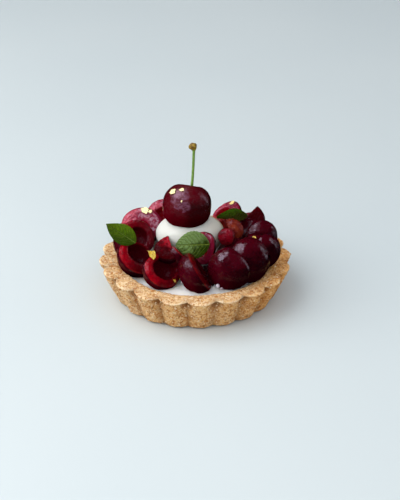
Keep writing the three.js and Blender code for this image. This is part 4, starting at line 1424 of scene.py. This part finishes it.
def cream_scoop(finish):
    """An egg of cream on a narrower foot, with the lip that the spoon left on its right."""
    width, height = scoop_line()
    squash = SCOOP_HALF_WIDTH / SCOOP_HALF_LENGTH
    line = np.stack([SCOOP_HALF_LENGTH * width, height], axis=1)
    rings = turned_rings(
        line, SCOOP_SEGMENTS, lambda angles: squash / np.hypot(squash * np.cos(angles), np.sin(angles))
    )
    angles = np.linspace(0, 2 * math.pi, SCOOP_SEGMENTS, endpoint=False)
    past_lip = angles - math.radians(SCOOP_LIP_DIRECTION)
    from_lip = np.arctan2(np.sin(past_lip), np.cos(past_lip))
    push = np.outer(width, SCOOP_LIP * bell(from_lip, SCOOP_LIP_SPREAD))
    push += 0.18 * wobble(rings, 11, 61) + 0.06 * np.sin(height * 1.7)[:, None] * wobble(rings, 16, 62)
    rings[:, :, 0] += push * np.cos(angles)
    rings[:, :, 1] += push * np.sin(angles)
    values = {"lip": with_pole_values(lip_values(rings))}
    rings[:, :, :2] += np.array(SCOOP_CENTRE)
    made = add_object("scoop", *ring_mesh(rings), finish, values)
    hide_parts("cream_scoop")
    return made


# Mint leaves
def vein_values(along, across, half_width, seed):
    """How much of a vein lies at each point, and the bulge between veins, which bend towards the tip."""
    from_midrib = np.abs(across)
    midrib = bell(from_midrib * half_width, 0.3 - 0.16 * along)
    bend = 0.1 * from_midrib + 0.24 * from_midrib**1.8
    here = np.stack([20 * along, 5 * across, 0 * along], axis=-1)
    place = (along - bend) * LEAF_VEINS + 0.4 * (across > 0) + 0.18 * wobble(here, 6, seed)
    to_vein = np.abs(place - np.round(place)) / LEAF_VEINS
    side = bell(to_vein, 0.010) * smoothstep(1.0, 0.7, from_midrib) * smoothstep(0, 0.06, along)
    bulge = np.abs(np.sin(math.pi * place)) ** 0.7
    return np.maximum(midrib, 0.5 * side), bulge


def leaf_faces():
    """Faces of the upper side, the under side and the rim between them."""
    rows = LEAF_ROWS + 1
    under = (LEAF_COLUMNS + 1) * rows
    faces = []
    for c in range(LEAF_COLUMNS):
        for r in range(LEAF_ROWS):
            a = c * rows + r
            faces.append((a, a + rows, a + rows + 1, a + 1))
            faces.append((under + a, under + a + 1, under + a + rows + 1, under + a + rows))
        low = c * rows
        high = low + LEAF_ROWS
        faces.append((low, under + low, under + low + rows, low + rows))
        faces.append((high + rows, under + high + rows, under + high, high))
    for r in range(LEAF_ROWS):
        last = LEAF_COLUMNS * rows + r
        faces.append((r + 1, under + r + 1, under + r, r))
        faces.append((last, under + last, under + last + 1, last + 1))
    return faces


def mint_leaf(name, finish, start, end, facing, width, arch, fold, widest, fullness):
    """A thin blade from its stalk end to its tip, with teeth, veins and bulges between the veins."""
    start = np.array(start, float)
    way = np.array(end, float) - start
    length = np.linalg.norm(way)
    way /= length
    across = np.cross(np.array(facing, float), way)
    across /= np.linalg.norm(across)
    out = np.cross(way, across)
    u = np.linspace(0, 1, LEAF_COLUMNS + 1)[:, None]
    v = np.linspace(-1, 1, LEAF_ROWS + 1)[None, :]
    tooth = 1 + 0.05 * (np.mod(u * LEAF_TEETH, 1) - 0.5)
    half_width = np.maximum(0.35, width / 2 * np.sin(math.pi * u**widest) ** fullness * tooth)
    vein, bulge = vein_values(u + 0 * v, v + 0 * u, half_width, len(name))
    rise = arch * (1 - (2 * u - 1) ** 2) + fold * np.abs(v) * half_width
    rise = rise + 0.25 * np.sin(9 * u + 2 * v) * np.abs(v)
    rise = rise + (0.28 * bulge - 0.22 * vein) * smoothstep(0, 0.15, u) * smoothstep(1, 0.8, np.abs(v))
    middle = start + u[..., None] * length * way + (v * half_width)[..., None] * across
    taper = LEAF_THICKNESS * (0.45 + 0.55 * smoothstep(1, 0.85, np.abs(v))) + 0 * u
    sides = [middle + (rise + side * taper / 2)[..., None] * out for side in (1, -1)]
    points = np.concatenate([side.reshape(-1, 3) for side in sides])
    # Painted shade, darker towards the stalk end and one edge
    shade = smoothstep(-0.7, 0.9, 0.7 * v + 1.2 * (0.5 - u)).ravel()
    values = {
        "vein": np.concatenate([vein.ravel(), 0.8 * vein.ravel()]),
        "shade": np.concatenate([shade, shade]),
    }
    made = add_object(name, points, leaf_faces(), finish, values)
    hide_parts(name)
    return made


# Gold leaf
def flake_rings(size, seed):
    """A crumpled thin sheet with a ragged outline, lying in its XY plane."""
    random = np.random.default_rng(seed)
    reach = size * random.uniform(0.55, 1.35, FLAKE_CORNERS)
    angles = np.linspace(0, 2 * math.pi, FLAKE_SEGMENTS, endpoint=False)
    turns = np.linspace(0, 2 * math.pi, FLAKE_CORNERS + 1)
    corners = np.stack([reach * np.cos(turns[:-1]), reach * np.sin(turns[:-1])], axis=1)
    outline = at_lengths(np.vstack([corners, corners[:1]]), turns, angles)
    shares = np.linspace(0.08, 1, 12)
    rings = []
    for side, outwards in ((-1, shares), (1, shares[::-1])):
        for share in outwards:
            flat = np.hstack([outline * share, np.zeros((len(angles), 1))])
            crumple = relief(flat, FLAKE_CRUMPLE, seed)
            curl = 0.2 * share**2 * wobble(flat, 3, seed + 9)
            flat[:, 2] = FLAKE_LIFT + crumple + curl + side * FLAKE_HALF_THICKNESS
            rings.append(flat)
    return np.array(rings)


def half_surface(radius, depth, out, on_skin):
    """Height and outward slope of a half's surface at a share of its radius."""
    if on_skin:
        widest = WIDEST_BELOW_CUT * radius
        level = math.sqrt(1 - out**2)
        slope = math.pi - math.atan2(radius * level, (depth - widest) * out)
        return -widest - (depth - widest) * level, slope
    share = max(0, (out - CUT_CROWN[0]) / (CUT_EDGE[0] - CUT_CROWN[0]))
    height = radius * (CUT_CROWN[1] + share * (CUT_EDGE[1] - CUT_CROWN[1]))
    slope = math.atan2(CUT_CROWN[1] - CUT_EDGE[1], CUT_EDGE[0] - CUT_CROWN[0])
    return height, slope if share > 0 else 0


def laid_flake(size, seed, slope, place, turn, axes, centre):
    """A flake tipped by its slope, moved to its place, turned about +Z and put in its cherry's frame."""
    tip = np.array(Matrix.Rotation(slope, 3, "Y"))
    spin = np.array(Matrix.Rotation(math.radians(turn), 3, "Z"))
    rings = flake_rings(size, seed) @ tip.T + np.array(place)
    return rings @ spin.T @ axes.T + centre


def flake_on_half(seed, on, turn, out, size, tip=0, pale=0, on_skin=False):
    """Rings of a flake on a half, and its share of painted highlight."""
    half = HALVES[on]
    height, slope = half_surface(half["radius"], half["depth"], out, on_skin)
    stands = math.radians(tip)
    place = (out * half["radius"], 0, height + 0.6 * size * abs(math.sin(stands)))
    axes, centre = cut_frame(half["at"], half["faces"], half["turn"])
    return laid_flake(size, seed, slope + stands, place, turn - half["turn"], axes, centre), pale


def flake_on_cherry(seed, azimuth, height, size):
    """Rings of a flake on the whole cherry, and its share of painted highlight: full, because the light falls
    on it.
    """
    radius, level = cherry_surface(np.array(math.radians(height)))
    slope = math.radians(90 - height)
    rings = laid_flake(size, seed, slope, (radius, 0, level), azimuth, cherry_axes(), np.array(CHERRY_CENTRE))
    return rings, 1


def gold_leaf(finish):
    """All flakes as one piece, each point with its flake's share of painted highlight."""
    flakes = [flake_on_half(seed, **flake) for seed, flake in enumerate(FLAKES, 70)]
    flakes += [flake_on_cherry(seed, **flake) for seed, flake in enumerate(CHERRY_FLAKES, 90)]
    parts = []
    pale = []
    for rings, highlight_share in flakes:
        points, faces = ring_mesh(rings)
        parts.append((points, faces))
        pale += [highlight_share] * len(points)
    return add_object("gold_flakes", *joined(parts), finish, {"pale": pale})


# Syrup
def syrup_pool(finish):
    """Juice that lies on the cream between the front halves, as one flat drop with an uneven edge; its
    darkness is also painted shade there.
    """
    shares = np.concatenate([np.linspace(0.06, 1, POOL_TOP_RINGS), np.linspace(0.9, 0.06, POOL_UNDER_RINGS)])
    angles = np.linspace(0, 2 * math.pi, POOL_SEGMENTS, endpoint=False)
    on_top = np.arange(len(shares)) < POOL_TOP_RINGS
    around = np.stack([np.cos(angles), np.sin(angles), 0 * angles], axis=1)
    reach = 1 + 0.16 * wobble(4 * around, 4, 82)
    rings = np.zeros((len(shares), POOL_SEGMENTS, 3))
    rings[:, :, 0] = POOL_CENTRE[0] + POOL_HALF_WIDTH * np.outer(shares, reach * np.cos(angles))
    rings[:, :, 1] = POOL_CENTRE[1] + POOL_HALF_LENGTH * np.outer(shares, reach * np.sin(angles))
    swell = POOL_HEIGHT * (1 - shares**4)
    rings[:, :, 2] = CREAM_HEIGHT + 0.2 + np.where(on_top, swell, -0.8 * swell)[:, None]
    rings[on_top, :, 2] += 0.12 * wobble(rings[on_top], 2.2, 83)
    return add_object("syrup_pool", *ring_mesh(rings[::-1]), finish)


def syrup_beads(finish):
    """Small flattened drops that lie where the juice gathers."""
    slope = np.linspace(-math.pi / 2, math.pi / 2, BEAD_RINGS + 2)[1:-1]
    parts = []
    for seed, (x, y, z, radius) in enumerate(SYRUP_BEADS):
        line = np.stack([radius * np.cos(slope), 0.75 * radius * np.sin(slope)], axis=1)
        rings = turned_rings(line, BEAD_SEGMENTS)
        rings = pushed_out(rings, 0.12 * radius * wobble(rings, 2 * radius, seed))
        parts.append(ring_mesh(rings + np.array((x, y, z))))
    return add_object("syrup_beads", *joined(parts), finish)


# The photograph's view, and soft light from the left and above
def camera():
    """A camera at the photograph's place; the taller side of its image spans the sensor's width."""
    data = bpy.data.cameras.new("camera")
    data.sensor_width = SENSOR_WIDTH
    data.lens = SENSOR_WIDTH * FOCAL_LENGTH_IN_PIXELS / IMAGE_HEIGHT_IN_PIXELS
    made = placed("camera", data)
    made.location = CAMERA_PLACE
    made.rotation_euler = (math.radians(90 - CAMERA_DEGREES_DOWN), 0, 0)
    bpy.context.scene.camera = made


def area_light(name, direction, distance, size, power, colour, mirrored, shift=0):
    """A soft light that is either mirrored by wet surfaces or lights what is matt, shifted sideways."""
    data = bpy.data.lights.new(name, "AREA")
    data.shape = "RECTANGLE"
    data.size, data.size_y = size
    data.energy = power
    data.color = colour
    made = placed(name, data)
    towards = Vector(direction).normalized()
    turn = towards.to_track_quat("Z", "Y")
    made.location = towards * distance + turn @ Vector((shift, 0, 0)) + Vector(TART_MIDDLE)
    made.rotation_euler = turn.to_euler()
    made.visible_glossy = mirrored
    made.visible_diffuse = not mirrored


def lights():
    """Panes that wet surfaces mirror, and the soft light of the window's side and of the room."""
    for shift in (-PANE_SHIFT, PANE_SHIFT):
        area_light("pane", **PANE, shift=shift, mirrored=True)
    area_light("far_pane", **FAR_PANE, mirrored=True)
    area_light("window_glow", **WINDOW_GLOW, mirrored=False)
    area_light("room", **ROOM_GLOW, mirrored=False)
    world = bpy.data.worlds.new("studio")
    world.use_nodes = True
    background = world.node_tree.nodes["Background"].inputs
    background["Color"].default_value = opaque(SKY_COLOUR)
    background["Strength"].default_value = SKY_STRENGTH
    world.cycles_visibility.glossy = False
    bpy.context.scene.world = world
    bpy.context.scene.view_settings.view_transform = "Standard"


def floor():
    """A wide round slab just below the tart."""
    top = [(radius, FLOOR_TOP) for radius in (FLOOR_INNER_RADIUS, FLOOR_RADIUS / 2, FLOOR_RADIUS)]
    underside = [(radius, FLOOR_BOTTOM) for radius in (FLOOR_RADIUS, FLOOR_INNER_RADIUS)]
    rings = turned_rings(np.array(top + underside), FLOOR_SEGMENTS)
    made = add_object("floor", *ring_mesh(rings), floor_finish())
    made.visible_glossy = False


# The whole tart
def search_tree(objects):
    """One search tree of several objects' faces."""
    parts = []
    for item in objects:
        points = np.array([vertex.co for vertex in item.data.vertices])
        parts.append((points, [tuple(face.vertices) for face in item.data.polygons]))
    points, faces = joined(parts)
    return BVHTree.FromPolygons(points.tolist(), faces)


def strewn_grains(shell):
    """Bran flecks and crumbs on the crust."""
    tree = grain_tree()
    bran = grain_finish("bran", BRAN_TONES)
    crumbs = grain_finish("crumbs", CRUMB_TONES)
    return [
        strewn_on(shell, tree, "bran_flecks", bran, **BRAN_GRAINS),
        strewn_on(shell, tree, "crust_crumbs", crumbs, **CRUMB_GRAINS),
    ]


def heap():
    """The halves and the cut pieces of cherry, each with its own flesh."""
    fleshes = {name: cut_cherry_finish(name, **flesh) for name, flesh in CUT_FLESH.items()}
    fleshes |= {name: peeled_finish(name, **flesh) for name, flesh in PEELED_FLESH.items()}
    flesh_of = {piece: fleshes[name] for name, pieces in PIECES_OF_FLESH.items() for piece in pieces}
    usual = fleshes["cut_cherry"]
    halves = [
        cherry_half(name, seed, flesh_of.get(name, usual), **half)
        for seed, (name, half) in enumerate(HALVES.items())
    ]
    quarters = [
        cherry_quarter(name, seed, flesh_of.get(name, usual), **quarter)
        for seed, (name, quarter) in enumerate(QUARTERS.items())
    ]
    return halves, quarters


def build():
    """Makes every piece, lists them by slot, and attaches each to the body that it rides on."""
    camera()
    lights()
    floor()
    shell = crust()
    grains = strewn_grains(shell)
    halves, quarters = heap()
    cherry = whole_cherry(whole_cherry_finish())
    stem = stalk(stalk_finish())
    scoop = cream_scoop(cream_finish("whipped_cream", SCOOP_PAINTED_SHADE_TONES))
    filling = cream_filling(cream_finish("cream", CREAM_TONES), search_tree(halves + [scoop]))
    leaves = [mint_leaf(name, leaf_finish(*LEAF_GREENS[name]), **leaf) for name, leaf in LEAVES.items()]
    gold = gold_leaf(gold_finish())
    syrup = [syrup_beads(syrup_finish()), syrup_pool(juice_finish())]
    slots = {
        "pastry": [shell] + grains,
        "cherry_skin": halves[:-1] + [cherry],
        "cherry_flesh": quarters + halves[-1:] + syrup,
        "cream": [filling, scoop],
        "stalk": [stem],
        "leaf": leaves,
        "gold_leaf": [gold],
    }
    for slot, pieces in slots.items():
        for piece in pieces:
            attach(piece, "root")


build()
